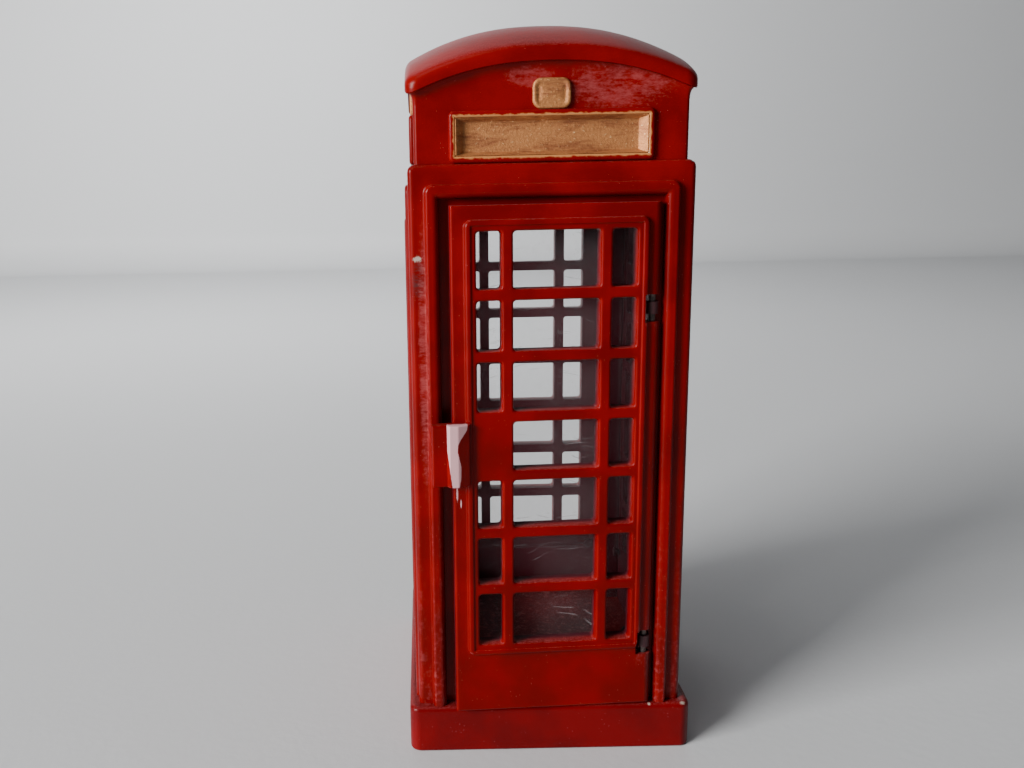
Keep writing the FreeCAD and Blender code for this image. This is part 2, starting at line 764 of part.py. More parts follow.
def door_handle():
    """A flat tab over the door's free edge and the edge of its moulding, with a raised ridge down it."""
    body = new_body("door_handle")
    heights = ("handle_bottom", "handle_bottom + handle_height")
    root = sketch(body, "handle_root", "XZ_Plane", "door_front")
    root_right = "min(handle_right; door_middle - field_outer - handle_root_gap)"
    rectangle(root, "handle_left", root_right, *heights)
    pad(body, root, "field_proud + handle_root_gap")
    tab = sketch(body, "handle_outline", "XZ_Plane", "handle_seat")
    rectangle(tab, "handle_left", "handle_right", *heights)
    pad(body, tab, "handle_thickness")
    ridge = sketch(body, "handle_ridge", "XZ_Plane", "handle_seat + handle_thickness")
    rectangle(ridge, "handle_left + ridge_offset", "handle_left + ridge_offset + ridge_width", *heights)
    pad(body, ridge, "ridge_height")
    keep(hang(body), "door_handle")


def hinge(level, height):
    """A fixed lug that stands in the door's notch, and the pin through it into the door's edge."""
    name = f"{level}_hinge"
    low = f"{height} - lug_height / 2"
    eye = cylinder(f"{name}_eye", "hinge_x", "hinge_y", low, "2 * lug_radius", "lug_height")
    web_size = ("hinge_x + lug_radius - lug_left", "-stop_plane - hinge_y", "lug_height")
    web = box(f"{name}_web", "lug_left", "hinge_y", low, *web_size)
    spigot_size = ("spigot_diameter", "stop_plane - inner_half")
    spigot = lying_cylinder(f"{name}_spigot", "spigot_x", "-stop_plane", height, *spigot_size)
    bore_size = ("pin_diameter + 2 * pin_seat", "lug_height")
    bore = cylinder(f"{name}_eye_bore", "hinge_x", "hinge_y", low, *bore_size)
    keep(cut(f"{name}_lug_cut", fuse(f"{name}_lug_blank", eye, web, spigot), bore), f"{name}_lug")
    reach = "notch_height / 2 + pin_grip - pin_end_gap"
    rod_size = ("pin_diameter", f"2 * ({reach})")
    rod = cylinder(f"{name}_pin_rod", "hinge_x", "hinge_y", f"{height} - ({reach})", *rod_size)
    keep(rod, f"{name}_pin")


def build():
    base_plinth()
    base_plate()
    front_frame()
    wall("rear", "half_body", True)
    wall("left", "inner_half", False)
    wall("right", "inner_half", False)
    for side in ("rear", "left", "right"):
        glazing(side)
        glazing_rivets(side, *CABIN_GLAZING, lambda item, side=side: turn(item, side))
    head_casting()
    roof_dome()
    four_screws("tie_screws", POST_CORNERS, "counterbore_depth", "tie_tip - counterbore_depth")
    four_screws("roof_screws", ROOF_CORNERS, "body_top", "ceiling + roof_screw_grip")
    for side in ROUND_TURN:
        sign(side)
        emblem(side)
    for level, height in HINGES.items():
        hinge(level, height)
    door_casting()
    door_handle()
    door_glazing()
    glazing_rivets("door", *DOOR_GLAZING, hang)


def export():
    doc.recompute()
    failed = [item.Name for item in doc.Objects if {"Invalid", "Error"} & set(item.State)]
    failed += [node.Label for node in nodes if node.Shape.isNull() or not node.Shape.isValid()]
    if failed:
        raise RuntimeError("these failed: " + ", ".join(failed))
    os.makedirs("parts", exist_ok=True)
    for node in nodes:
        node.Shape.exportStep(f"parts/{node.Label}.step")


build()
export()
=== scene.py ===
import json
import math

import bpy
import numpy as np
from mathutils import Matrix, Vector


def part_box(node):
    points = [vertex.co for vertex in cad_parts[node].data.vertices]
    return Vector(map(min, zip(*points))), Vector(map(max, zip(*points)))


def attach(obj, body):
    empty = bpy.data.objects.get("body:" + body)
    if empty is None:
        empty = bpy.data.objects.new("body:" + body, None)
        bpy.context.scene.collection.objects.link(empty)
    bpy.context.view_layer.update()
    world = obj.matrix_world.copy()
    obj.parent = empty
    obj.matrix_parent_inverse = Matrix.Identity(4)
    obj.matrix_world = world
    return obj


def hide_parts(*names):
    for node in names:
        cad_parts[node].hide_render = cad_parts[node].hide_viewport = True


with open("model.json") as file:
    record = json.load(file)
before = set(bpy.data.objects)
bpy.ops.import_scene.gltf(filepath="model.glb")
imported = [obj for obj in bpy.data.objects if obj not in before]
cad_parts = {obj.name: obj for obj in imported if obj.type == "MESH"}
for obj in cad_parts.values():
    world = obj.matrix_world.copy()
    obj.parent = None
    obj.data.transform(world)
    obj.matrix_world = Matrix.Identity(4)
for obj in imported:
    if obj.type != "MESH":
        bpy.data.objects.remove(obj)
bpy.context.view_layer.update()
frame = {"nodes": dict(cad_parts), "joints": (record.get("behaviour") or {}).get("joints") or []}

# The looks of a miniature die-cast telephone booth. Lengths are in millimetres until a mesh is made.
# Every casting is a surface worked out in the front position, looking along +Y, and then turned to its side.

MM = 0.001


def limits(node):
    """The lowest and highest corners of a CAD node, in millimetres."""
    low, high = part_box(node)
    return np.array(low) / MM, np.array(high) / MM


# ---- sizes read from the frame ----

BASE_HALF = limits("base_plinth")[1][0]
BASE_TOP = limits("base_plinth")[1][2]
PLATE_HALF = limits("base_plate")[1][0]
BODY_HALF = limits("rear_wall")[1][0]
BODY_TOP = limits("rear_wall")[1][2]
INNER_HALF = limits("left_wall")[1][1]
SIGN_FRONT = limits("head_casting")[1][0]
ROOF_HALF = limits("roof_dome")[1][0]
CROWN_TOP = limits("roof_dome")[1][2]
TRAY_LOW, TRAY_HIGH = limits("front_sign")
EMBLEM_LOW, EMBLEM_HIGH = limits("front_emblem")
HINGE = frame["joints"][0]
HINGE_AXIS = np.array(HINGE["pos_m"]) / MM
AJAR = math.radians(-HINGE["range_deg"][0])

# ---- sizes of the castings' own detail ----

FRAME_OUTER = BODY_HALF - 2.3
FRAME_TOP = BODY_TOP - 2.8
FRAME_BAND = 2.05
FRAME_PROUD = 1.0
WALL_FRAME_PROUD = 0.45
OPENING_HALF = FRAME_OUTER - FRAME_BAND
OPENING_TOP = FRAME_TOP - FRAME_BAND
FIELD_BAND = 1.7
FIELD_PROUD = 0.7
BAR_PROUD = 0.5
PANE_WIDE = 12.5
PANE_NARROW = 3.6
PANE_HEIGHT = 7.3
END_PANE_HEIGHT = 8.2
MULLION = 1.65
BAR = 1.6
ROWS = 7
LOCK_ROW = 3
GRID_HALF = PANE_WIDE / 2 + MULLION + PANE_NARROW
GRID_TOP = BODY_TOP - 9.4
POST = 4.0
BODY_CORNER = 0.8
TOP_CORNER = 1.1
SHOULDER = 1.1

DOOR_PROUD = 1.5
DOOR_THICKNESS = 2.0
DOOR_FRONT = BODY_HALF + DOOR_PROUD
DOOR_BACK = DOOR_FRONT - DOOR_THICKNESS
DOOR_LEFT = -OPENING_HALF + 1.4
DOOR_RIGHT = OPENING_HALF - 0.7
DOOR_LOW = BASE_TOP + 0.35
DOOR_HIGH = OPENING_TOP - 0.9
DOOR_MIDDLE = (DOOR_LEFT + DOOR_RIGHT) / 2
HINGE_EDGE = 0.96
STOP_PLANE = DOOR_BACK - 0.1
STOP_HALF = -DOOR_LEFT - 0.6
STOP_TOP = DOOR_HIGH - 0.6
NOTCH_LEFT = DOOR_RIGHT - 2.45
NOTCH_HEIGHT = 4.0
HINGE_HEIGHTS = (DOOR_HIGH - 15.15, DOOR_LOW + 10.25)

HEAD_HALF = BODY_HALF - 1.0
SIGN_HALF = 14.55
SIGN_LOW = BODY_TOP + 0.05
SIGN_HIGH = SIGN_LOW + 7.2
ROOF_DROP = 5.2
ROOF_POWER = 2.3
ROOF_EASE = 40
ROOF_SHELL = 2.0
ROOF_CORNER = 2.0

HANDLE_LEFT = DOOR_LEFT - 3.1
HANDLE_WIDTH = 5.5
HANDLE_HEIGHT = 9.3
HANDLE_LOW = GRID_TOP - END_PANE_HEIGHT - LOCK_ROW * (PANE_HEIGHT + BAR) - 1.9

HOLD = 0.08
QUARTER = np.linspace(0, math.pi / 2, 5)
ACROSS = 1 - np.cos(QUARTER)
RISE = np.sin(QUARTER)
TURNS = {"front": 0, "right": 90, "rear": 180, "left": 270}


# ---- meshes ----


def turned(points, degrees):
    """Points turned about the upright axis: x' = x cos a - y sin a, y' = x sin a + y cos a."""
    a = math.radians(degrees)
    x, y, z = points[..., 0], points[..., 1], points[..., 2]
    return np.stack([x * math.cos(a) - y * math.sin(a), x * math.sin(a) + y * math.cos(a), z], -1)


def ajar(points):
    """Points of the closed door, turned about the hinge to where the door stands a little open."""
    return turned(points - HINGE_AXIS, math.degrees(AJAR)) + HINGE_AXIS


def outward(points, faces):
    """The faces, all turned over where the volume they enclose, the sum of a . (b x c), is negative."""
    a = points[faces[:, 0]]
    volume = 0
    for k in range(1, faces.shape[1] - 1):
        volume += np.einsum("ij,ij->", a, np.cross(points[faces[:, k]], points[faces[:, k + 1]]))
    return faces if volume > 0 else faces[:, ::-1]


def loft(loops, ring=False):
    """A closed skin over loops of equal length: point j of loop i joins point j of loop i + 1.

    A ring joins its last loop to its first; otherwise each end closes on the middle of its loop.
    """
    rows, count = loops.shape[:2]
    points = loops.reshape(-1, 3)
    edge = np.arange(count)
    beside = (edge + 1) % count
    start = np.arange(rows if ring else rows - 1)[:, None] * count
    after = (start + count) % (rows * count)
    quads = np.stack([start + edge, start + beside, after + beside, after + edge], -1).reshape(-1, 4)
    if ring:
        return points, outward(points, quads)
    middles = np.stack([loops[0].mean(0), loops[-1].mean(0)])
    first, last = np.full(count, rows * count), np.full(count, rows * count + 1)
    final = (rows - 1) * count
    low = np.stack([first, beside, edge, edge], -1)
    high = np.stack([last, edge + final, beside + final, beside + final], -1)
    points = np.concatenate([points, middles])
    return points, outward(points, np.concatenate([quads, low, high]))


def rounded_plan(half_x, half_y, radius, side_steps=1, corner_steps=6):
    """Points round a rectangle with quarter circles for corners: c + r (cos a, sin a), anticlockwise."""
    parts = []
    angles = np.linspace(0, math.pi / 2, corner_steps + 1)
    radius = max(min(radius, half_x, half_y), 1e-3)
    corners = ((1, 1), (-1, 1), (-1, -1), (1, -1))
    for k, (x, y) in enumerate(corners):
        a = angles + k * math.pi / 2
        centre = np.array([x * (half_x - radius), y * (half_y - radius)])
        parts.append(centre + radius * np.stack([np.cos(a), np.sin(a)], -1))
    whole = []
    for k, arc in enumerate(parts):
        step = np.linspace(0, 1, side_steps + 1)[1:-1, None]
        whole += [arc, arc[-1] + step * (parts[(k + 1) % 4][0] - arc[-1])]
    return np.concatenate(whole)


def carried(profile, half_x, half_y, radius, narrow=1.0, **steps):
    """A profile of (inset, height) carried round a rounded rectangle: each point makes one loop.

    The insets at the low and high sides are narrowed by a factor.
    """
    loops = []
    for inset, height in profile:
        plan = rounded_plan(half_x - inset, half_y - narrow * inset, radius - inset, **steps)
        loops.append(np.column_stack([plan, np.full(len(plan), height)]))
    return np.stack(loops)


def bend(inset, height, radius, start, end, steps=4):
    """An arc of a profile: (inset + r cos a, height + r sin a) between two angles in degrees."""
    a = np.radians(np.linspace(start, end, steps + 1))
    return [(inset + radius * math.cos(k), height + radius * math.sin(k)) for k in a]


def stood_up(points, back, middle):
    """Points of a flat piece, stood up on the front: its height off its back points along -Y."""
    return np.stack([points[..., 0], -back - points[..., 2], points[..., 1] + middle], -1)


def lines(*groups):
    """Every grid line that the groups ask for, once, in order."""
    joined = np.sort(np.concatenate([np.ravel(g) for g in groups]))
    return joined[np.concatenate([[True], np.diff(joined) > 1e-3])]


def round_steps(radius):
    """Distances in from an edge across its quarter round, r (1 - cos a), and one that holds the flat."""
    return np.append(radius * ACROSS, radius + HOLD)


def edge_lines(at, side, radius):
    """Lines beside an edge, where a quarter round of that radius falls to it."""
    return at + side * round_steps(radius)


def corner_lines(at, side, radius):
    """Lines that a rounded corner needs: at - side r (1 - tan a), for a from 0 to 45 degrees."""
    return at - side * radius * (1 - np.tan(np.linspace(0, math.pi / 4, 5)))


def fall(distance, radius):
    """How far a quarter round has dropped at a distance from its edge: r - sqrt(r^2 - (r - d)^2)."""
    rest = radius - np.clip(distance, 0, radius)
    return radius - np.sqrt(np.maximum(radius**2 - rest**2, 0))


def round_corner(x, z, corner, signs, radius, reach):
    """Squares about a corner's centre become circles: p' = p max(|u|, |v|) / |p|, fading over the reach."""
    u = (x - corner[0]) * signs[0] + radius
    v = (z - corner[1]) * signs[1] + radius
    square = np.maximum(u, v)
    length = np.hypot(u, v)
    fade = np.clip(1 - (square - radius) / reach, 0, 1)
    inside = (u > 1e-6) & (v > 1e-6)
    scale = np.where(inside, 1 + fade * (square / np.maximum(length, 1e-6) - 1), 1)
    u, v = u * scale, v * scale
    return corner[0] + (u - radius) * signs[0], corner[1] + (v - radius) * signs[1]


def relief(xs, zs, height, back, is_open, warp):
    """A casting as a height over a grid of lines: the outer face at y = -height(x, z), a flat inner face,
    no face in the open cells, and a wall along every edge of what is left.

    Returns its points, its faces and, for each point, 1 on the inner face and 0 on the outer one.
    """
    x, z = np.meshgrid(xs, zs, indexing="ij")
    middle_x, middle_z = np.meshgrid((xs[1:] + xs[:-1]) / 2, (zs[1:] + zs[:-1]) / 2, indexing="ij")
    solid = ~is_open(middle_x, middle_z)
    outer, inner = height(x, z), back(x, z)
    x, z = warp(x, z)
    points = np.stack([np.stack([x, -outer, z], -1), np.stack([x, -inner, z], -1)]).reshape(-1, 3)
    front = np.arange(x.size).reshape(x.shape)
    behind = front + x.size
    ring = (front[:-1, :-1], front[1:, :-1], front[1:, 1:], front[:-1, 1:])
    faces = [np.stack([corner[solid] for corner in ring], -1)]
    faces.append(faces[0][:, ::-1] + x.size)
    padded = np.pad(solid, 1)
    low, high = padded[1:-1, :-1], padded[1:-1, 1:]
    left, right = padded[:-1, 1:-1], padded[1:, 1:-1]
    along_x = (front[:-1], front[1:], behind[:-1], behind[1:])
    along_z = (front[:, :-1], front[:, 1:], behind[:, :-1], behind[:, 1:])
    for edge, order, chosen in (
        (along_x, (1, 0, 2, 3), high & ~low),
        (along_x, (0, 1, 3, 2), low & ~high),
        (along_z, (0, 1, 3, 2), right & ~left),
        (along_z, (1, 0, 2, 3), left & ~right),
    ):
        faces.append(np.stack([edge[k][chosen] for k in order], -1))
    faces = np.concatenate(faces)
    used, faces = np.unique(faces, return_inverse=True)
    return points[used], faces.reshape(-1, 4), (used >= x.size).astype(float)


def joined(*shells):
    """Several closed shells in one mesh."""
    points, faces, start = [], [], 0
    for shell in shells:
        points.append(shell[0])
        faces.append(shell[1] + start)
        start += len(shell[0])
    return np.concatenate(points), np.concatenate(faces)


def piece(name, shell, finish, body, slot, replaced=(), smooth=40, **marks):
    """Makes a mesh in metres from points and faces, with its marks as values on its points."""
    points, faces = shell
    mesh = bpy.data.meshes.new(name)
    corners = [list(dict.fromkeys(face)) for face in faces.tolist()]
    mesh.from_pydata((points * MM).tolist(), [], corners)
    for mark, values in marks.items():
        layer = mesh.attributes.new(mark, "FLOAT", "POINT")
        layer.data.foreach_set("value", np.asarray(values, np.float32))
    mesh.update()
    mesh.shade_smooth()
    mesh.set_sharp_from_angle(angle=math.radians(smooth))
    mesh.materials.append(finish)
    item = bpy.data.objects.new(name, mesh)
    bpy.context.scene.collection.objects.link(item)
    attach(item, body)
    if replaced:
        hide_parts(*replaced)
    return item


# ---- castings with windows and mouldings ----

EDGE_ROUND = 0.35
PANE_CORNER = 0.55
PORTAL_CORNER = 1.3
FIELD_CORNER = 1.1
CASTING_REACH = 0.8
FIELD_REACH = 0.4
PORTAL_FOOT = 0.12
FIELD_FOOT = 0.1
PORTAL_OUTSIDE = 0.5
PORTAL_INSIDE = 0.9
FIELD_OUTSIDE = 0.5
GRID_LOW = GRID_TOP - 2 * END_PANE_HEIGHT - (ROWS - 2) * PANE_HEIGHT - (ROWS - 1) * BAR


def portal_profile(proud, floor):
    """Distance in from the portal's edge and height there: a coved foot, a bead, a fall to the floor."""
    inside = min(PORTAL_INSIDE, 2 * proud)
    distance = [-0.25, -0.12, *(PORTAL_OUTSIDE * ACROSS), PORTAL_OUTSIDE + HOLD]
    height = [0, 0.03, *(PORTAL_FOOT + (proud - PORTAL_FOOT) * RISE), proud]
    distance += [FRAME_BAND - inside - HOLD, *(FRAME_BAND - inside * ACROSS[::-1])]
    height += [proud, *(proud - min(inside, proud - floor) * (1 - RISE[::-1]))]
    return np.array(distance + [FRAME_BAND + 0.02]), np.array(height + [floor])


def field_profile():
    """Distance in from the window field's edge and height: a coved foot, a bead, and a step to the bars."""
    distance = [-0.2, -0.1, *(FIELD_OUTSIDE * ACROSS), 0.78, 0.86, 0.96, 1.04]
    height = [0, 0.03, *(FIELD_FOOT + (FIELD_PROUD - FIELD_FOOT) * RISE)]
    height += [FIELD_PROUD, 0.67, BAR_PROUD + 0.03, BAR_PROUD]
    return np.array(distance), np.array(height)


WALL_PORTAL = portal_profile(WALL_FRAME_PROUD, 0)
DOOR_PORTAL = portal_profile(FRAME_PROUD, STOP_PLANE - BODY_HALF)
FIELD = field_profile()
FIELD_OUTER = GRID_HALF + FIELD_BAND
FIELD_HIGH = GRID_TOP + FIELD_BAND
FIELD_LOW = GRID_LOW - FIELD_BAND


def panes(middle, left_out=None):
    """Every pane as left, right, low and high, but for one given by its row and column."""
    columns = [
        (middle - GRID_HALF, middle - GRID_HALF + PANE_NARROW),
        (middle - PANE_WIDE / 2, middle + PANE_WIDE / 2),
        (middle + GRID_HALF - PANE_NARROW, middle + GRID_HALF),
    ]
    found, high = [], GRID_TOP
    for row in range(ROWS):
        low = high - (END_PANE_HEIGHT if row in (0, ROWS - 1) else PANE_HEIGHT)
        found += [(*column, low, high) for k, column in enumerate(columns) if (row, k) != left_out]
        high = low - BAR
    return found


def pane_lines(openings):
    """The grid lines beside every pane, across and up."""
    xs, zs = [], []
    for left, right, low, high in openings:
        for at, side in ((left, -1), (right, 1)):
            xs += [edge_lines(at, side, EDGE_ROUND), corner_lines(at, side, PANE_CORNER)]
        for at, side in ((low, -1), (high, 1)):
            zs += [edge_lines(at, side, EDGE_ROUND), corner_lines(at, side, PANE_CORNER)]
    return xs, zs


def in_any(x, z, openings):
    """Whether each place lies inside one of the openings."""
    return np.any([(x > l) & (x < r) & (z > b) & (z < t) for l, r, b, t in openings], axis=0)


def pane_fall(x, z, openings):
    """The drop of the bars' rounded edges, by the distance to the nearest pane."""
    drop = np.zeros_like(x)
    for left, right, low, high in openings:
        distance = np.maximum.reduce([left - x, x - right, low - z, z - high])
        drop = np.maximum(drop, fall(distance, EDGE_ROUND))
    return drop


def round_panes(x, z, openings):
    """The four corners of every pane become arcs."""
    for left, right, low, high in openings:
        for corner_x, side_x in ((left, -1), (right, 1)):
            for corner_z, side_z in ((low, -1), (high, 1)):
                x, z = round_corner(x, z, (corner_x, corner_z), (side_x, side_z), PANE_CORNER, BAR / 2)
    return x, z


def portal_distance(x, z):
    """How far in a place is from the portal's sides and top, whichever is nearest."""
    return np.minimum(FRAME_OUTER - np.abs(x), FRAME_TOP - z)


def field_distance(x, z, middle):
    """How far in a place is from the window field's four sides, whichever is nearest."""
    return np.minimum.reduce([FIELD_OUTER - np.abs(x - middle), FIELD_HIGH - z, z - FIELD_LOW])


def round_portal(x, z):
    """The portal's two top corners become arcs, and so do the top corners of the casting."""
    for side in (-1, 1):
        x, z = round_corner(x, z, (side * FRAME_OUTER, FRAME_TOP), (side, 1), PORTAL_CORNER, CASTING_REACH)
        x, z = round_corner(x, z, (side * BODY_HALF, BODY_TOP), (side, 1), TOP_CORNER, CASTING_REACH)
    return x, z


def round_field(x, z, middle):
    """The window field's four corners become arcs."""
    for side in (-1, 1):
        for level, up in ((FIELD_LOW, -1), (FIELD_HIGH, 1)):
            corner = (middle + side * FIELD_OUTER, level)
            x, z = round_corner(x, z, corner, (side, up), FIELD_CORNER, FIELD_REACH)
    return x, z


def both_ways(distances, outer):
    """Lines at the distances in from both sides of a casting."""
    return [outer - distances, -outer + distances]


def portal_lines(profile):
    """The grid lines that the portal's moulding and its corners need, across and up."""
    xs = both_ways(profile[0], FRAME_OUTER)
    zs = [FRAME_TOP - profile[0], corner_lines(FRAME_TOP, 1, PORTAL_CORNER)]
    xs += [corner_lines(side * FRAME_OUTER, side, PORTAL_CORNER) for side in (1, -1)]
    return xs, zs


def field_lines(middle):
    """The grid lines that the window field's moulding and its corners need, across and up."""
    xs = [middle + FIELD_OUTER - FIELD[0], middle - FIELD_OUTER + FIELD[0]]
    xs += [corner_lines(middle + side * FIELD_OUTER, side, FIELD_CORNER) for side in (-1, 1)]
    zs = [FIELD_HIGH - FIELD[0], FIELD_LOW + FIELD[0]]
    zs += [corner_lines(FIELD_HIGH, 1, FIELD_CORNER), corner_lines(FIELD_LOW, -1, FIELD_CORNER)]
    return xs, zs


def body_fall(x, z, half, corner):
    """The drop at the cabin's upright corners and along its shoulder."""
    drop = fall(BODY_TOP - z, SHOULDER)
    return np.maximum(drop, fall(half - np.abs(x), corner)) if corner else drop


def corner_posts():
    """The two square posts inside a casting's corners, each a rounded plan carried straight up."""
    shells = []
    for side in (-1, 1):
        post = carried([(0, BASE_TOP), (0, BODY_TOP)], POST / 2, POST / 2, 0.3)
        shells.append(loft(post + [side * (INNER_HALF - POST / 2), POST / 2 - INNER_HALF, 0]))
    return joined(*shells)


def front_casting():
    """The front: its height is body + portal moulding - rounds, open inside the stop, with two posts."""
    xs, zs = portal_lines(DOOR_PORTAL)
    xs += both_ways(round_steps(BODY_CORNER), BODY_HALF)
    xs.append([-STOP_HALF, STOP_HALF])
    xs += both_ways(-corner_lines(0, 1, TOP_CORNER), BODY_HALF)
    zs += [edge_lines(BODY_TOP, -1, SHOULDER), corner_lines(BODY_TOP, 1, TOP_CORNER), [BASE_TOP, STOP_TOP]]
    points, faces, inner = relief(
        lines(*xs),
        lines(*[np.asarray(z)[np.asarray(z) >= BASE_TOP] for z in zs]),
        lambda x, z: BODY_HALF
        + np.interp(portal_distance(x, z), *DOOR_PORTAL)
        - body_fall(x, z, BODY_HALF, BODY_CORNER),
        lambda x, z: np.full_like(x, INNER_HALF),
        lambda x, z: (np.abs(x) < STOP_HALF) & (z < STOP_TOP),
        round_portal,
    )
    posts = corner_posts()
    return joined((points, faces), posts), np.append(inner, np.ones(len(posts[0])))


def wall_casting(half, corner):
    """A wall: its height is body + portal and field mouldings - rounds, open in the panes.

    A wall with rounded upright corners also has the two posts.
    """
    openings = panes(0)
    xs, zs = portal_lines(WALL_PORTAL)
    pane_xs, pane_zs = pane_lines(openings)
    field_xs, field_zs = field_lines(0)
    xs += pane_xs + field_xs + both_ways(round_steps(corner), half)
    zs += pane_zs + field_zs + [edge_lines(BODY_TOP, -1, SHOULDER), [BASE_TOP]]
    if corner:
        xs += both_ways(-corner_lines(0, 1, TOP_CORNER), half)
        zs.append(corner_lines(BODY_TOP, 1, TOP_CORNER))
    xs = [np.asarray(x)[np.abs(x) <= half] for x in xs]

    def height(x, z):
        portal = np.interp(portal_distance(x, z), *WALL_PORTAL)
        field = np.interp(field_distance(x, z, 0), *FIELD)
        return BODY_HALF + (portal + field) - body_fall(x, z, half, corner) - pane_fall(x, z, openings)

    def warp(x, z):
        return round_portal(*round_field(*round_panes(x, z, openings), 0))

    shell = relief(
        lines(*xs),
        lines(*zs),
        height,
        lambda x, z: np.full_like(x, INNER_HALF),
        lambda x, z: in_any(x, z, openings),
        warp,
    )
    if not corner:
        return shell[:2], shell[2]
    posts = corner_posts()
    return joined(shell[:2], posts), np.append(shell[2], np.ones(len(posts[0])))


def door_shell():
    """The closed door: rounded edges, a full round on the hinge edge, and two notches for the lugs."""
    openings = panes(DOOR_MIDDLE, left_out=(LOCK_ROW, 0))
    xs, zs = pane_lines(panes(DOOR_MIDDLE))
    field_xs, field_zs = field_lines(DOOR_MIDDLE)
    xs += field_xs + [edge_lines(DOOR_LEFT, 1, EDGE_ROUND), edge_lines(DOOR_RIGHT, -1, HINGE_EDGE)]
    xs.append([NOTCH_LEFT])
    zs += field_zs + [edge_lines(DOOR_LOW, 1, EDGE_ROUND), edge_lines(DOOR_HIGH, -1, EDGE_ROUND)]
    zs += [[level - NOTCH_HEIGHT / 2, level + NOTCH_HEIGHT / 2] for level in HINGE_HEIGHTS]

    def height(x, z):
        edges = fall(np.minimum.reduce([x - DOOR_LEFT, z - DOOR_LOW, DOOR_HIGH - z]), EDGE_ROUND)
        edges = np.maximum(edges, fall(DOOR_RIGHT - x, HINGE_EDGE))
        field = np.interp(field_distance(x, z, DOOR_MIDDLE), *FIELD)
        return DOOR_FRONT + field - edges - pane_fall(x, z, openings)

    def is_open(x, z):
        near = np.any([np.abs(z - level) < NOTCH_HEIGHT / 2 for level in HINGE_HEIGHTS], axis=0)
        return in_any(x, z, openings) | (near & (x > NOTCH_LEFT))

    points, faces, inner = relief(
        lines(*xs),
        lines(*zs),
        height,
        lambda x, z: DOOR_BACK + fall(DOOR_RIGHT - x, HINGE_EDGE),
        is_open,
        lambda x, z: round_field(*round_panes(x, z, openings), DOOR_MIDDLE),
    )
    return (ajar(points), faces), inner


# ---- plinth, pediment and roof ----

TRAY_GAP = 0.05
RECESS_STEP = 0.02


def over_roof(plan):
    """The top of the roof over a plan: z = crown - f(x) - f(y) + f(x) f(y) / ease.

    Each f(d) is drop (|d| / half)^power.
    """
    drop = ROOF_DROP * (np.abs(plan) / ROOF_HALF) ** ROOF_POWER
    return CROWN_TOP - drop.sum(-1) + drop.prod(-1) / ROOF_EASE


def under_roof(plan):
    """The underside of the roof over a plan, a shell's thickness below its top."""
    return over_roof(plan) - ROOF_SHELL


def level_loop(plan, heights):
    """A loop over a plan, at one height or at each point's own."""
    return np.column_stack([plan, np.broadcast_to(heights, len(plan))])


def plinth_shell():
    """A hollow plinth: its cavity, its rim, a rounded foot, a rounded top edge and the floor."""
    foot, edge, wall = 0.35, 0.7, BASE_HALF - PLATE_HALF - 0.1
    profile = [(wall + 8, BASE_TOP - 2), (wall, BASE_TOP - 2), (wall, 0.0), (foot + HOLD, 0.0)]
    profile += bend(foot, foot, foot, 270, 180)
    profile += [(0.0, foot + HOLD), (0.0, BASE_TOP - edge - HOLD)]
    profile += bend(edge, BASE_TOP - edge, edge, 180, 90)
    profile += [(edge + HOLD, BASE_TOP), (6.0, BASE_TOP)]
    return loft(carried(profile, BASE_HALF, BASE_HALF, 1.7, side_steps=2, corner_steps=8))


def head_plan(half, radius, recess=0.0):
    """The pediment's plan, anticlockwise; along each side a stretch as wide as a tray may stand back."""
    mouth = TRAY_HIGH[0] + TRAY_GAP
    straight = np.linspace(radius - half, half - radius, 21)
    along = lines(straight, [-mouth - RECESS_STEP, -mouth, mouth, mouth + RECESS_STEP])[::-1]
    side = np.stack([along, np.where(np.abs(along) < mouth + RECESS_STEP / 2, half - recess, half)], -1)
    angle = np.linspace(0, math.pi / 2, 7)[1:-1, None]
    corner = half - radius + radius * np.concatenate([np.cos(angle), np.sin(angle)], -1)
    quarter = np.column_stack([np.concatenate([corner, side]), np.zeros(len(corner) + len(side))])
    return np.concatenate([turned(quarter, degrees) for degrees in (0, 90, 180, 270)])[:, :2]


def head_shell():
    """The pediment: a square box with a recess for each tray, which flares in a cove under the roof."""
    cove_out, cove_depth, gap, rounding = ROOF_HALF - HEAD_HALF - 0.12, 2.3, 0.02, 0.6
    recess = HEAD_HALF + TRAY_HIGH[1] + TRAY_GAP
    low, high = TRAY_LOW[2] - TRAY_GAP, TRAY_HIGH[2] + TRAY_GAP
    plan = head_plan(HEAD_HALF, rounding)
    springing = under_roof(plan) - cove_depth
    loops = [level_loop(plan * 0.5, BODY_TOP), level_loop(plan, BODY_TOP)]
    loops.append(level_loop(plan, low - RECESS_STEP))
    loops += [level_loop(head_plan(HEAD_HALF, rounding, recess), level) for level in (low, high)]
    loops.append(level_loop(plan, high + RECESS_STEP))
    loops += [level_loop(plan, high + part * (springing - high)) for part in (0.5, 0.98)]
    for out, up in zip(cove_out * ACROSS, RISE):
        plan = head_plan(HEAD_HALF + out, rounding + out)
        loops.append(level_loop(plan, under_roof(plan) - cove_depth * (1 - up) - gap))
    loops += [level_loop(plan * part, under_roof(plan * part) - gap) for part in (0.9, 0.6, 0.3, 0.05)]
    return loft(np.stack(loops))


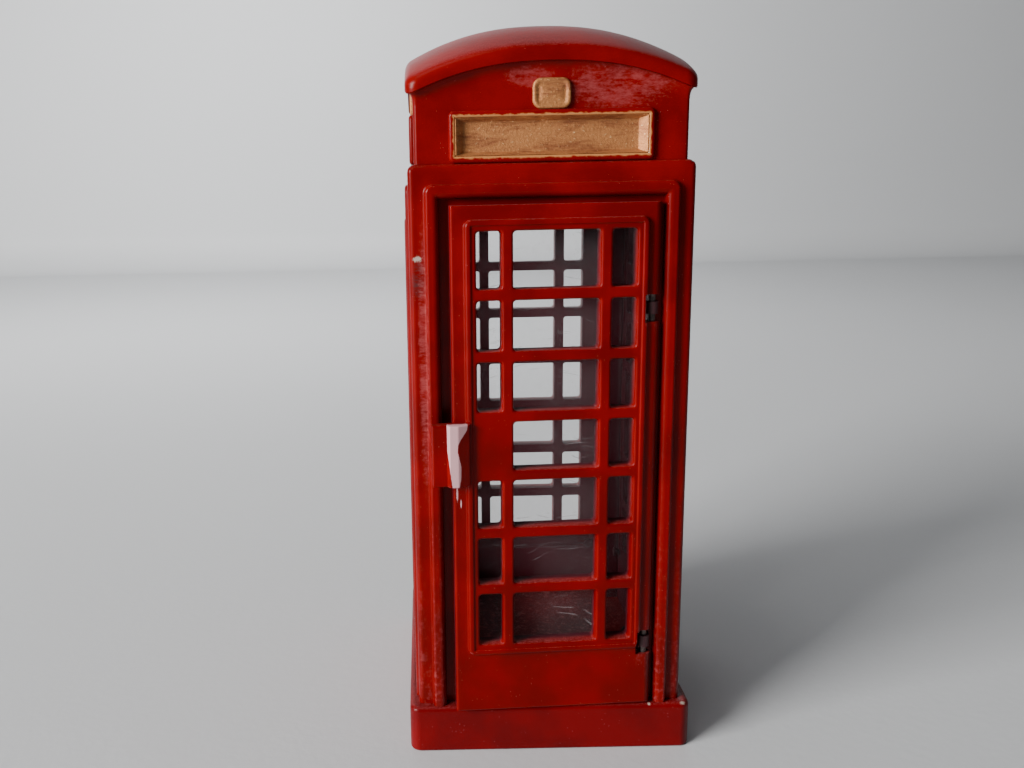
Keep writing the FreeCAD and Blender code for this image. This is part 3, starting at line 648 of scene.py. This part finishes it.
def roof_shell():
    """The roof: loops on its crowned top, a rounded nose, an upright lip, and loops under it."""
    nose, lip = 0.9, 0.2
    steps = {"side_steps": 28, "corner_steps": 8}

    def plan(inset):
        return rounded_plan(ROOF_HALF - inset, ROOF_HALF - inset, ROOF_CORNER - inset, **steps)

    top = plan(nose)
    loops = [level_loop(top * part, over_roof(top * part)) for part in np.linspace(0.04, 0.96, 18)]
    for inset, up in zip(nose * ACROSS[::-1], RISE[::-1]):
        loops.append(level_loop(plan(inset), over_roof(plan(inset)) - nose * (1 - up)))
    for inset, up in zip(lip * ACROSS, RISE):
        loops.append(level_loop(plan(inset), under_roof(plan(inset)) + lip * (1 - up)))
    under = plan(lip + HOLD)
    loops += [level_loop(under * part, under_roof(under * part)) for part in (1, 0.95, 0.8, 0.5, 0.2, 0.04)]
    return loft(np.stack(loops))


def sign_frame_shell():
    """The raised red frame of a sign: one rounded profile carried round the sign box."""
    proud, band, outside, inside = SIGN_FRONT - HEAD_HALF, 0.95, 0.5, 0.25
    profile = [(0.0, -0.3), *bend(outside, proud - outside, outside, 180, 90)]
    profile += [*bend(band - inside, proud - inside, inside, 90, 0), (band, -0.3)]
    middle = (SIGN_LOW + SIGN_HIGH) / 2
    loops = carried(profile, SIGN_HALF, (SIGN_HIGH - SIGN_LOW) / 2, 0.8, side_steps=2)
    edge = np.repeat([step[0] / band for step in profile], loops.shape[1])
    points, faces = loft(stood_up(loops, HEAD_HALF, middle), ring=True)
    return (points, faces), edge


def tray_shell():
    """The gold tray of a sign: a thin rim, sloped reveals that are narrower above and below, and a floor."""
    deep = TRAY_HIGH[1] - TRAY_LOW[1]
    floor, slope = 0.5, 1.15
    profile = [(6.0, 0.0), (0.0, 0.0), (0.0, deep - 0.06), (0.06, deep), (0.12, deep - 0.02)]
    profile += [(slope - 0.1, floor + 0.1), (slope, floor + 0.02), (slope + 0.12, floor), (slope + 1, floor)]
    half_x, half_z = TRAY_HIGH[0], (TRAY_HIGH[2] - TRAY_LOW[2]) / 2
    loops = carried(profile, half_x, half_z, 0.25, narrow=0.45, side_steps=12)
    return loft(stood_up(loops, -TRAY_HIGH[1], (TRAY_HIGH[2] + TRAY_LOW[2]) / 2))


def emblem_shell():
    """A plain cartouche: a rounded rim, a shallow groove inside it and a crowned middle."""
    thick = EMBLEM_HIGH[1] - EMBLEM_LOW[1]
    rim = 0.28
    profile = [(0.0, 0.0), *bend(rim, thick - rim, rim, 180, 60)]
    profile += [(0.55, thick - 0.05), (0.72, thick - 0.18), (0.9, thick - 0.2)]
    profile += [(1.15, thick - 0.12), (1.5, thick - 0.05)]
    half_x, half_z = EMBLEM_HIGH[0], (EMBLEM_HIGH[2] - EMBLEM_LOW[2]) / 2
    loops = carried(profile, half_x, half_z, 1.25, side_steps=4)
    return loft(stood_up(loops, -EMBLEM_HIGH[1], (EMBLEM_HIGH[2] + EMBLEM_LOW[2]) / 2))


# ---- door handle ----


def handle_shell():
    """A flat tab with a ridge and a sloping right side, and a mark where its white stripe is brushed on."""
    seat = DOOR_FRONT + FIELD_PROUD + 0.02
    right, high = HANDLE_LEFT + HANDLE_WIDTH, HANDLE_LOW + HANDLE_HEIGHT
    root = DOOR_MIDDLE - FIELD_OUTER - 0.02
    rounding = 0.22
    across = ([0, 2.1, 2.5, 3.7, 5.5], [0.6, 0.6, 1.25, 1.3, 0.62])

    def height(x, z):
        edges = np.minimum.reduce([x - HANDLE_LEFT, right - x, z - HANDLE_LOW, high - z])
        return seat + np.interp(x - HANDLE_LEFT, *across) - fall(edges, rounding)

    points, faces, _ = relief(
        lines(
            np.arange(HANDLE_LEFT, right, 0.11),
            edge_lines(HANDLE_LEFT, 1, rounding),
            edge_lines(right, -1, rounding),
            [root, root + 0.02],
        ),
        lines(
            np.arange(HANDLE_LOW, high, 0.2),
            edge_lines(HANDLE_LOW, 1, rounding),
            edge_lines(high, -1, rounding),
        ),
        height,
        lambda x, z: np.where(x <= root, DOOR_FRONT, seat),
        lambda x, z: np.zeros_like(x, bool),
        lambda x, z: (x, z),
    )
    down = (high - points[:, 2]) / HANDLE_HEIGHT
    along = points[:, 0] - HANDLE_LEFT
    left_side = np.interp(down, [0, 0.4, 0.7, 1], [2.1, 2.15, 2.45, 2.8])
    waist = ([0, 0.08, 0.2, 0.3, 0.42, 0.65, 0.85, 1], [5.1, 5.0, 4.2, 3.65, 3.6, 4.1, 4.05, 3.8])
    right_side = np.interp(down, *waist)
    stripe = np.clip(np.minimum(along - left_side, right_side - along) / 0.12 + 0.5, 0, 1)
    stripe *= points[:, 1] < -DOOR_FRONT - FIELD_PROUD
    return (ajar(points), faces), stripe


# ---- materials ----


class Value:
    """A socket of a material's nodes: sums with other values or numbers add Math nodes."""

    def __init__(self, finish, socket):
        self.finish = finish
        self.socket = socket

    def math(self, operation, first, second=0.0):
        return self.finish.node("ShaderNodeMath", {"operation": operation}, {0: first, 1: second})

    def __add__(self, other):
        return self.math("ADD", self, other)

    def __sub__(self, other):
        return self.math("SUBTRACT", self, other)

    def __rsub__(self, other):
        return self.math("SUBTRACT", other, self)

    def __mul__(self, other):
        return self.math("MULTIPLY", self, other)

    def __truediv__(self, other):
        return self.math("DIVIDE", self, other)

    def higher(self, other):
        return self.math("MAXIMUM", self, other)

    __radd__ = __add__
    __rmul__ = __mul__


class Finish:
    """A material under construction."""

    def __init__(self, name):
        self.material = bpy.data.materials.new(name)
        self.material.use_nodes = True
        self.tree = self.material.node_tree
        self.tree.nodes.clear()
        self.place = self.node("ShaderNodeTexCoord", out="Object")

    def node(self, kind, settings=(), sockets=(), out=0):
        """Adds a node: its settings first, then the values or links of its sockets."""
        item = self.tree.nodes.new(kind)
        for name, value in dict(settings).items():
            setattr(item, name, value)
        for name, value in dict(sockets).items():
            if isinstance(value, Value):
                self.tree.links.new(value.socket, item.inputs[name])
            else:
                item.inputs[name].default_value = value
        return Value(self, item.outputs[out])

    def vector_math(self, operation, *inputs, out=0):
        return self.node("ShaderNodeVectorMath", {"operation": operation}, dict(enumerate(inputs)), out=out)

    def stretched(self, x, y, z):
        """The place, stretched along the axes."""
        return self.vector_math("MULTIPLY", self.place, (x, y, z))

    def noise(self, per_mm, detail=2.0, rough=0.5, place=None):
        """Cloudy noise about 0.5, with features per millimetre."""
        sockets = {"Vector": place or self.place, "Scale": per_mm / MM, "Detail": detail, "Roughness": rough}
        return self.node("ShaderNodeTexNoise", {}, sockets)

    def cells(self, per_mm):
        """The distance to the nearest of many scattered points."""
        sockets = {"Vector": self.place, "Scale": per_mm / MM}
        return self.node("ShaderNodeTexVoronoi", {}, sockets)

    def step(self, value, low, high):
        """A soft step from 0 to 1 as the value goes from low to high."""
        sockets = {"Value": value, 1: low, 2: high}
        return self.node("ShaderNodeMapRange", {"interpolation_type": "SMOOTHSTEP"}, sockets)

    def mark(self, name):
        """A value kept on the mesh's points, 0 where there is none."""
        return self.node("ShaderNodeAttribute", {"attribute_name": name}, out="Fac")

    def upward(self):
        """How far the surface faces up, from 0 to 1."""
        normal = self.node("ShaderNodeNewGeometry", out="Normal")
        return self.node("ShaderNodeSeparateXYZ", {}, {0: normal}, out="Z")

    def crests(self):
        """Where the mesh is sharply convex."""
        return self.node("ShaderNodeNewGeometry", out="Pointiness")

    def spot(self, centre, radii, ragged=0.5):
        """1 in the middle of a ragged patch, 0 outside it; its centre and radii are in millimetres."""
        from_centre = self.vector_math("SUBTRACT", self.place, [c * MM for c in centre])
        scaled = self.vector_math("MULTIPLY", from_centre, [1 / (r * MM) for r in radii])
        length = self.vector_math("LENGTH", scaled, out="Value")
        edge = length + (self.noise(2.2, 4.0, 0.7) - 0.5) * (2 * ragged)
        return 1 - self.step(edge, 0.55, 1.0)

    def mix(self, mask, first, second):
        """The first colour where the mask is 0, the second where it is 1."""
        return self.node("ShaderNodeMix", {"data_type": "RGBA"}, {0: mask, 6: first, 7: second}, out=2)

    def bump(self, height, depth_mm, strength=1.0, under=None):
        sockets = {"Height": height, "Distance": depth_mm * MM, "Strength": strength}
        if under:
            sockets["Normal"] = under
        return self.node("ShaderNodeBump", {}, sockets)

    def done(self, **sockets):
        """The material, its surface a Principled shader with these sockets."""
        named = {name.replace("_", " "): value for name, value in sockets.items()}
        shader = self.node("ShaderNodeBsdfPrincipled", {}, named)
        output = self.tree.nodes.new("ShaderNodeOutputMaterial")
        self.tree.links.new(shader.socket, output.inputs["Surface"])
        return self.material


ENAMEL = (0.2, 0.0004, 0.0006, 1)
# A pale pink: for dust and specks, and for painted highlight and painted sheen on crests, upward faces and
# the portal's left bead.
PALE_PINK = (0.42, 0.1, 0.1, 1)
PLUM = (0.05, 0.006, 0.011, 1)
PLUM_GREY = (0.08, 0.014, 0.022, 1)
BARE_METAL = (0.42, 0.32, 0.27, 1)
WHITE_PAINT = (0.6, 0.34, 0.36, 1)
GRIME = (0.09, 0.022, 0.022, 1)
GOLD_PAINT = (0.48, 0.195, 0.066, 1)


def enamel(name, tone=ENAMEL, dust=0.3, brushed_patches=(), chips=(), drips=(), marks=()):
    """Thick glossy enamel: uneven depth, orange peel, dust and painted sheen on upward faces, crests paled
    by wear and painted highlight, brushed patches, chips, and inner faces darkened partly as painted shade.
    """
    f = Finish(name)
    clouds = f.noise(0.12, 3.0)
    grain = f.noise(5.5, 3.0, 0.7)
    peel = f.noise(0.9, 2.0)
    inner = f.step(f.mark("inner"), 0.25, 0.75)
    specks = 1 - f.step(f.cells(1.6), 0.06, 0.11)
    specks = specks * f.step(f.noise(0.35, 2.0), 0.5, 0.6)
    # Crests go pale pink: partly paint rubbed thin, partly a painted highlight that stands in for glints
    # along rounded edges.
    pale_crests = f.step(f.crests(), 0.56, 0.64) * f.step(f.noise(1.3, 4.0, 0.7), 0.5, 0.64)
    # Upward faces go pale pink: real dust settling on ledges, and a painted sheen of the bright overhead
    # light, strongest on the roof.
    settled_dust_and_sheen = f.step(f.upward(), 0.5, 0.95) * f.step(grain, 0.45, 0.65) * dust
    pale = settled_dust_and_sheen.higher(pale_crests * 0.6).higher(specks * 0.8)
    deep = tuple(0.7 * c for c in tone[:3]) + (1,)
    colour = f.mix(f.step(clouds, 0.35, 0.65), deep, tone)
    # Dust and specks go pale pink, and so do the painted highlight on crests and the painted sheen on upward
    # faces.
    colour = f.mix(pale, colour, PALE_PINK)
    worn = pale
    brushed = f.step(f.noise(1.1, 5.0, 0.75, f.stretched(0.6, 1.0, 1.6)), 0.36, 0.66)
    # Brushed patches: real scuffs and grime, and pale pink streaks that are a painted highlight.
    for centre, radii, strength, paint in brushed_patches:
        patch = f.spot(centre, radii, 0.6) * brushed * strength
        colour = f.mix(patch, colour, paint)
        worn = worn.higher(patch)
    for centre, radii in chips:
        patch = f.spot(centre, radii, 0.9)
        colour = f.mix(patch, colour, BARE_METAL)
        worn = worn.higher(patch)
    for centre, radii in drips:
        colour = f.mix(f.spot(centre, radii, 0.35), colour, WHITE_PAINT)
    for mark, paint in marks:
        colour = f.mix(f.step(f.mark(mark) + (f.noise(1.5, 3.0) - 0.5) * 0.5, 0.4, 0.6), colour, paint)
    # Inner faces turn dark plum: partly a thin dark coat inside the cabin, partly painted shade, so the
    # cabin looks dim and pane reveals darken inward.
    colour = f.mix(inner * 0.97, colour, f.mix(f.step(grain, 0.35, 0.7), PLUM, PLUM_GREY))
    glossy = f.step(f.crests(), 0.57, 0.66) * (1 - inner)
    rough = 0.27 + 0.08 * clouds + 0.35 * worn + 0.25 * inner
    skin = f.bump(peel, 0.05, 0.5)
    return f.done(
        Base_Color=colour,
        Roughness=rough,
        Specular_IOR_Level=0.1,
        Coat_Weight=(0.04 + 0.6 * glossy) * (1 - worn),
        Coat_Roughness=0.14,
        Normal=f.bump(grain + 1.5 * specks, 0.012, 0.5, skin),
    )


def gold(name):
    """Metallic paint brushed along a panel: long streaks, brown where it is thin, small raised drops
    coloured bright as painted glints.
    """
    f = Finish(name)
    streaks = f.noise(1.7, 6.0, 0.75, f.stretched(0.35, 0.35, 2.2))
    broad = f.noise(0.3, 3.0, 0.5, f.stretched(0.5, 0.5, 1.6))
    blobs_and_glints = f.noise(2.3, 3.0, 0.65)
    thin = f.step(streaks * 0.5 + broad * 0.5, 0.57, 0.36) * 0.8
    worn = f.step(f.noise(2.6, 4.0, 0.75), 0.6, 0.72)
    colour = f.mix(thin, GOLD_PAINT, (0.2, 0.055, 0.022, 1))
    # Raised drops of paint are coloured bright gold: a painted glint on each.
    colour = f.mix(f.step(blobs_and_glints, 0.6, 0.75), colour, (0.82, 0.5, 0.24, 1))
    colour = f.mix(worn * 0.55, colour, (0.1, 0.012, 0.01, 1))
    skin = f.bump(streaks, 0.07, 0.8)
    return f.done(
        Base_Color=colour,
        Metallic=0.55 - 0.3 * worn,
        Roughness=0.42 + 0.25 * streaks,
        Normal=f.bump(blobs_and_glints, 0.12, 0.7, skin),
    )


def clear_plastic(name):
    """A thin clear sheet: almost invisible, with fine curved scratches and a bloom of dust."""
    f = Finish(name)
    swirl = f.noise(0.12, 1.0)
    waves = f.node(
        "ShaderNodeTexWave",
        {"wave_type": "RINGS", "rings_direction": "SPHERICAL"},
        {"Vector": f.place, "Scale": 110.0, "Distortion": 7.0, "Detail": 1.0, "Detail Scale": 1.0},
    )
    scratches = f.step(waves, 0.992, 1.0) * f.step(f.noise(0.25, 2.0), 0.56, 0.66)
    bloom = f.step(f.noise(0.9, 5.0, 0.7), 0.5, 0.8)
    motes = (1 - f.step(f.cells(1.1), 0.05, 0.1)) * f.step(swirl, 0.45, 0.6)
    return f.done(
        Base_Color=(0.5, 0.47, 0.49, 1),
        Roughness=0.08 + 0.3 * bloom,
        Alpha=0.025 + 0.04 * bloom + 0.25 * scratches + 0.4 * motes,
        Normal=f.bump(swirl, 0.3, 0.2),
    )


def metal(name, colour, rough, grain_scale):
    """Plain metal: fine drawn or turned grain, tarnish in patches."""
    f = Finish(name)
    grain = f.noise(grain_scale, 4.0, 0.6, f.stretched(1.0, 1.0, 0.15))
    tarnish = f.step(f.noise(0.8, 3.0), 0.48, 0.7)
    dulled = tuple(0.45 * c for c in colour[:3]) + (1,)
    return f.done(
        Base_Color=f.mix(tarnish, colour, dulled),
        Metallic=0.95 - 0.3 * tarnish,
        Roughness=rough + 0.2 * grain + 0.15 * tarnish,
        Normal=f.bump(grain, 0.01, 0.4),
    )


def dark_casting(name):
    """Bare zinc under one thin dark coat, worn through to bare metal on its crests."""
    f = Finish(name)
    grain = f.noise(3.5, 4.0, 0.65)
    pale_crests = f.step(f.crests(), 0.68, 0.8) * f.step(grain, 0.55, 0.7)
    return f.done(
        Base_Color=f.mix(pale_crests, f.mix(grain, (0.03, 0.008, 0.01, 1), (0.08, 0.02, 0.025, 1)), BARE_METAL),
        Metallic=0.2 + 0.6 * pale_crests,
        Roughness=0.42 + 0.2 * grain,
        Normal=f.bump(grain, 0.03, 0.5),
    )


def black_plastic(name):
    """Matte moulded plastic with a fine spark-eroded grain and faint flow marks."""
    f = Finish(name)
    grain = f.noise(4.5, 2.0, 0.6)
    flow = f.noise(0.15, 3.0)
    return f.done(
        Base_Color=f.mix(flow, (0.018, 0.018, 0.019, 1), (0.04, 0.04, 0.042, 1)),
        Roughness=0.5 + 0.2 * grain,
        Normal=f.bump(grain, 0.03, 0.6),
    )


def pale_laminate(name, colour, depth):
    """The pale surface that the booth stands on, with a fine pebbled grain."""
    f = Finish(name)
    pebbles = f.noise(0.55, 3.0, 0.55)
    clouds = f.noise(0.004, 3.0)
    shade = tuple(0.93 * c for c in colour[:3]) + (1,)
    return f.done(
        Base_Color=f.mix(clouds, colour, shade),
        Roughness=0.5 + 0.15 * pebbles,
        Normal=f.bump(pebbles, depth, 0.35),
    )


# ---- the room ----


def camera():
    """A camera in front, about level with the cabin's shoulder, looking down and rolled by a degree.

    The place 50 mm up the booth's upright axis lies to its right, below it and ahead of it.
    """
    down, aside, roll = 0.185, 0.002, -0.021
    aim_height, aim_seen = 50, (18.86, 10.35, 152.2)
    forward_turn = np.array([[1, 0, 0], [0, 0, -1], [0, 1, 0]])
    look = np.array([[1, 0, 0], [0, math.cos(down), -math.sin(down)], [0, math.sin(down), math.cos(down)]])
    swing = np.array([
        [math.cos(aside), 0, math.sin(aside)],
        [0, 1, 0],
        [-math.sin(aside), 0, math.cos(aside)],
    ])
    tilt = np.array([[math.cos(roll), -math.sin(roll), 0], [math.sin(roll), math.cos(roll), 0], [0, 0, 1]])
    rows = tilt @ look @ swing @ forward_turn
    place = np.eye(4)
    place[:3, :3] = np.stack([rows[0], -rows[1], -rows[2]], -1)
    place[:3, 3] = (np.array([0, 0, aim_height]) - rows.T @ np.array(aim_seen)) * MM
    data = bpy.data.cameras.new("camera")
    data.sensor_width = 36
    data.lens = 31.1
    data.shift_x = 0.0859
    data.shift_y = -0.0363
    data.clip_start = 0.005
    item = bpy.data.objects.new("camera", data)
    item.matrix_world = Matrix(place)
    bpy.context.scene.collection.objects.link(item)
    bpy.context.scene.camera = item


def sweep():
    """Floor and backdrop in one sheet: flat, then a quarter round of 40 mm, then upright."""
    front, wall, top, bend_radius, width = -1600.0, 800.0, 1500.0, 40.0, 2600.0
    angle = np.linspace(0, math.pi / 2, 13)
    y = np.concatenate([[front], wall - bend_radius + bend_radius * np.sin(angle), [wall]])
    z = np.concatenate([[0.0], bend_radius * (1 - np.cos(angle)), [top]])
    x = np.linspace(-width, width, 3)
    points = np.stack([np.repeat(x, len(y)), np.tile(y, 3), np.tile(z, 3)], -1)
    i = (np.arange(2)[:, None] * len(y) + np.arange(len(y) - 1)).ravel()
    mesh = bpy.data.meshes.new("studio_sweep")
    faces = np.stack([i, i + len(y), i + len(y) + 1, i + 1], -1)
    mesh.from_pydata((points * MM).tolist(), [], faces.tolist())
    mesh.shade_smooth()
    mesh.materials.append(pale_laminate("pale_laminate", (0.62, 0.63, 0.645, 1), 0.12))
    item = bpy.data.objects.new("studio_sweep", mesh)
    bpy.context.scene.collection.objects.link(item)


def area_light(name, place, aim, size, power, colour=(1, 1, 1)):
    """A soft square light at a place, turned to face its aim; both are in millimetres."""
    data = bpy.data.lights.new(name, "AREA")
    data.shape = "SQUARE"
    data.size = size * MM
    data.energy = power
    data.color = colour
    back = np.array(place, float) - np.array(aim, float)
    back /= np.linalg.norm(back)
    side = np.cross([0, 0, 1], back)
    side /= np.linalg.norm(side)
    turn = np.eye(4)
    turn[:3, :3] = np.stack([side, np.cross(back, side), back], -1)
    turn[:3, 3] = np.array(place) * MM
    item = bpy.data.objects.new(name, data)
    item.matrix_world = Matrix(turn)
    bpy.context.scene.collection.objects.link(item)


def lights():
    """A window on the left and in front, a weak ceiling light, a wash on the backdrop and a dim room."""
    area_light("window", (-880, -520, 410), (0, 0, 60), 460, 25.0, (1.0, 0.99, 0.97))
    area_light("ceiling", (-350, -250, 1100), (0, 0, 50), 500, 1.6)
    area_light("wall_wash", (-180, 330, 420), (-90, 800, 60), 260, 2.5)
    world = bpy.data.worlds.new("studio")
    world.use_nodes = True
    background = world.node_tree.nodes["Background"]
    background.inputs["Color"].default_value = (0.82, 0.87, 0.93, 1)
    background.inputs["Strength"].default_value = 0.05
    bpy.context.scene.world = world


# ---- the booth ----


def paint_nodes(names, finish):
    """Gives CAD nodes whose shape is right their finish."""
    for name in names:
        for slot in frame["nodes"][name].material_slots:
            slot.material = finish


def build():
    """Makes the finishes, then every piece, and paints the CAD nodes whose shape is kept."""
    red = enamel(
        "red_enamel",
        chips=[((-19.3, -20.6, 77.6), (0.7, 1.2, 0.5))],
        brushed_patches=[
            ((-19.2, -20.6, 74.6), (1.1, 1.5, 3.2), 0.9, GRIME),
            # A long pale pink streak down the portal's left bead: a painted highlight.
            ((-18.6, -20.6, 62), (0.9, 2, 22), 0.4, PALE_PINK),
        ],
    )
    pediment = enamel(
        "pediment_enamel",
        brushed_patches=[
            # Two pale pink brushed patches high on the pediment face.
            ((9, -19.5, 101), (9, 2, 3.5), 0.38, PALE_PINK),
            ((-3, -19.5, 102.5), (4, 2, 1.6), 0.35, PALE_PINK),
        ],
    )
    # The roof's raised dust amount also paints the pale sheen of the overhead light on its dome.
    dome = enamel("roof_enamel", dust=0.6)
    plinth = enamel(
        "plinth_enamel",
        (0.17, 0.002, 0.004, 1),
        chips=[((20.9, -21.7, 7.4), (0.7, 0.5, 0.4)), ((15.5, -21.8, 7.4), (0.4, 0.5, 0.25))],
    )
    door_red = enamel(
        "door_enamel",
        dust=0.6,
        drips=[((-14.15, -23.5, 43.2), (0.16, 1, 1.5)), ((-13.6, -23.6, 41.6), (0.12, 1, 0.8))],
        chips=[((13.2, -22.0, 85.6), (0.5, 0.4, 0.3))],
    )
    handle_red = enamel("handle_enamel", marks=[("stripe", WHITE_PAINT)])
    frame_red = enamel("sign_frame_enamel", marks=[("gilt", GOLD_PAINT)])
    gold_paint = gold("gold_paint")

    piece("plinth_casting", plinth_shell(), plinth, "cabin", "red_enamel", ["base_plinth"])
    shell, inner = front_casting()
    piece("front_casting", shell, red, "cabin", "red_enamel", ["front_frame"], inner=inner)
    walls = {"right": (INNER_HALF, 0), "rear": (BODY_HALF, BODY_CORNER), "left": (INNER_HALF, 0)}
    for side, (half, corner) in walls.items():
        (points, faces), inner = wall_casting(half, corner)
        shell = (turned(points, TURNS[side]), faces)
        piece(f"{side}_casting", shell, red, "cabin", "red_enamel", [f"{side}_wall"], inner=inner)
    shell, inner = door_shell()
    piece("door_panel", shell, door_red, "door", "red_enamel", ["door_casting"], inner=inner)
    shell, stripe = handle_shell()
    piece("pull_handle", shell, handle_red, "door", "red_enamel", ["door_handle"], stripe=stripe)
    piece("pediment", head_shell(), pediment, "cabin", "red_enamel", ["head_casting"])
    piece("roof", roof_shell(), dome, "cabin", "red_enamel", ["roof_dome"])
    for side, degrees in TURNS.items():
        (points, faces), edge = sign_frame_shell()
        shell = (turned(points, degrees), faces)
        piece(f"{side}_sign_frame", shell, frame_red, "cabin", "red_enamel", gilt=0.75 * edge)
        for name, made in (("sign", tray_shell()), ("emblem", emblem_shell())):
            shell = (turned(made[0], degrees), made[1])
            piece(f"{side}_{name}_gilding", shell, gold_paint, "cabin", "gold_paint", [f"{side}_{name}"])

    clear = clear_plastic("clear_plastic")
    sheets = [name for name in frame["nodes"] if name.endswith("_glazing")]
    paint_nodes(sheets, clear)
    dark = [name for name in frame["nodes"] if name.endswith(("_rivets", "_lug"))]
    paint_nodes(dark, dark_casting("dark_zinc"))
    paint_nodes(["upper_hinge_pin", "lower_hinge_pin"], metal("pin_steel", (0.16, 0.13, 0.12, 1), 0.45, 4.0))
    paint_nodes(["tie_screws", "roof_screws"], metal("screw_zinc", (0.62, 0.62, 0.6, 1), 0.32, 3.0))
    paint_nodes(["base_plate"], black_plastic("black_plastic"))


camera()
sweep()
lights()
build()
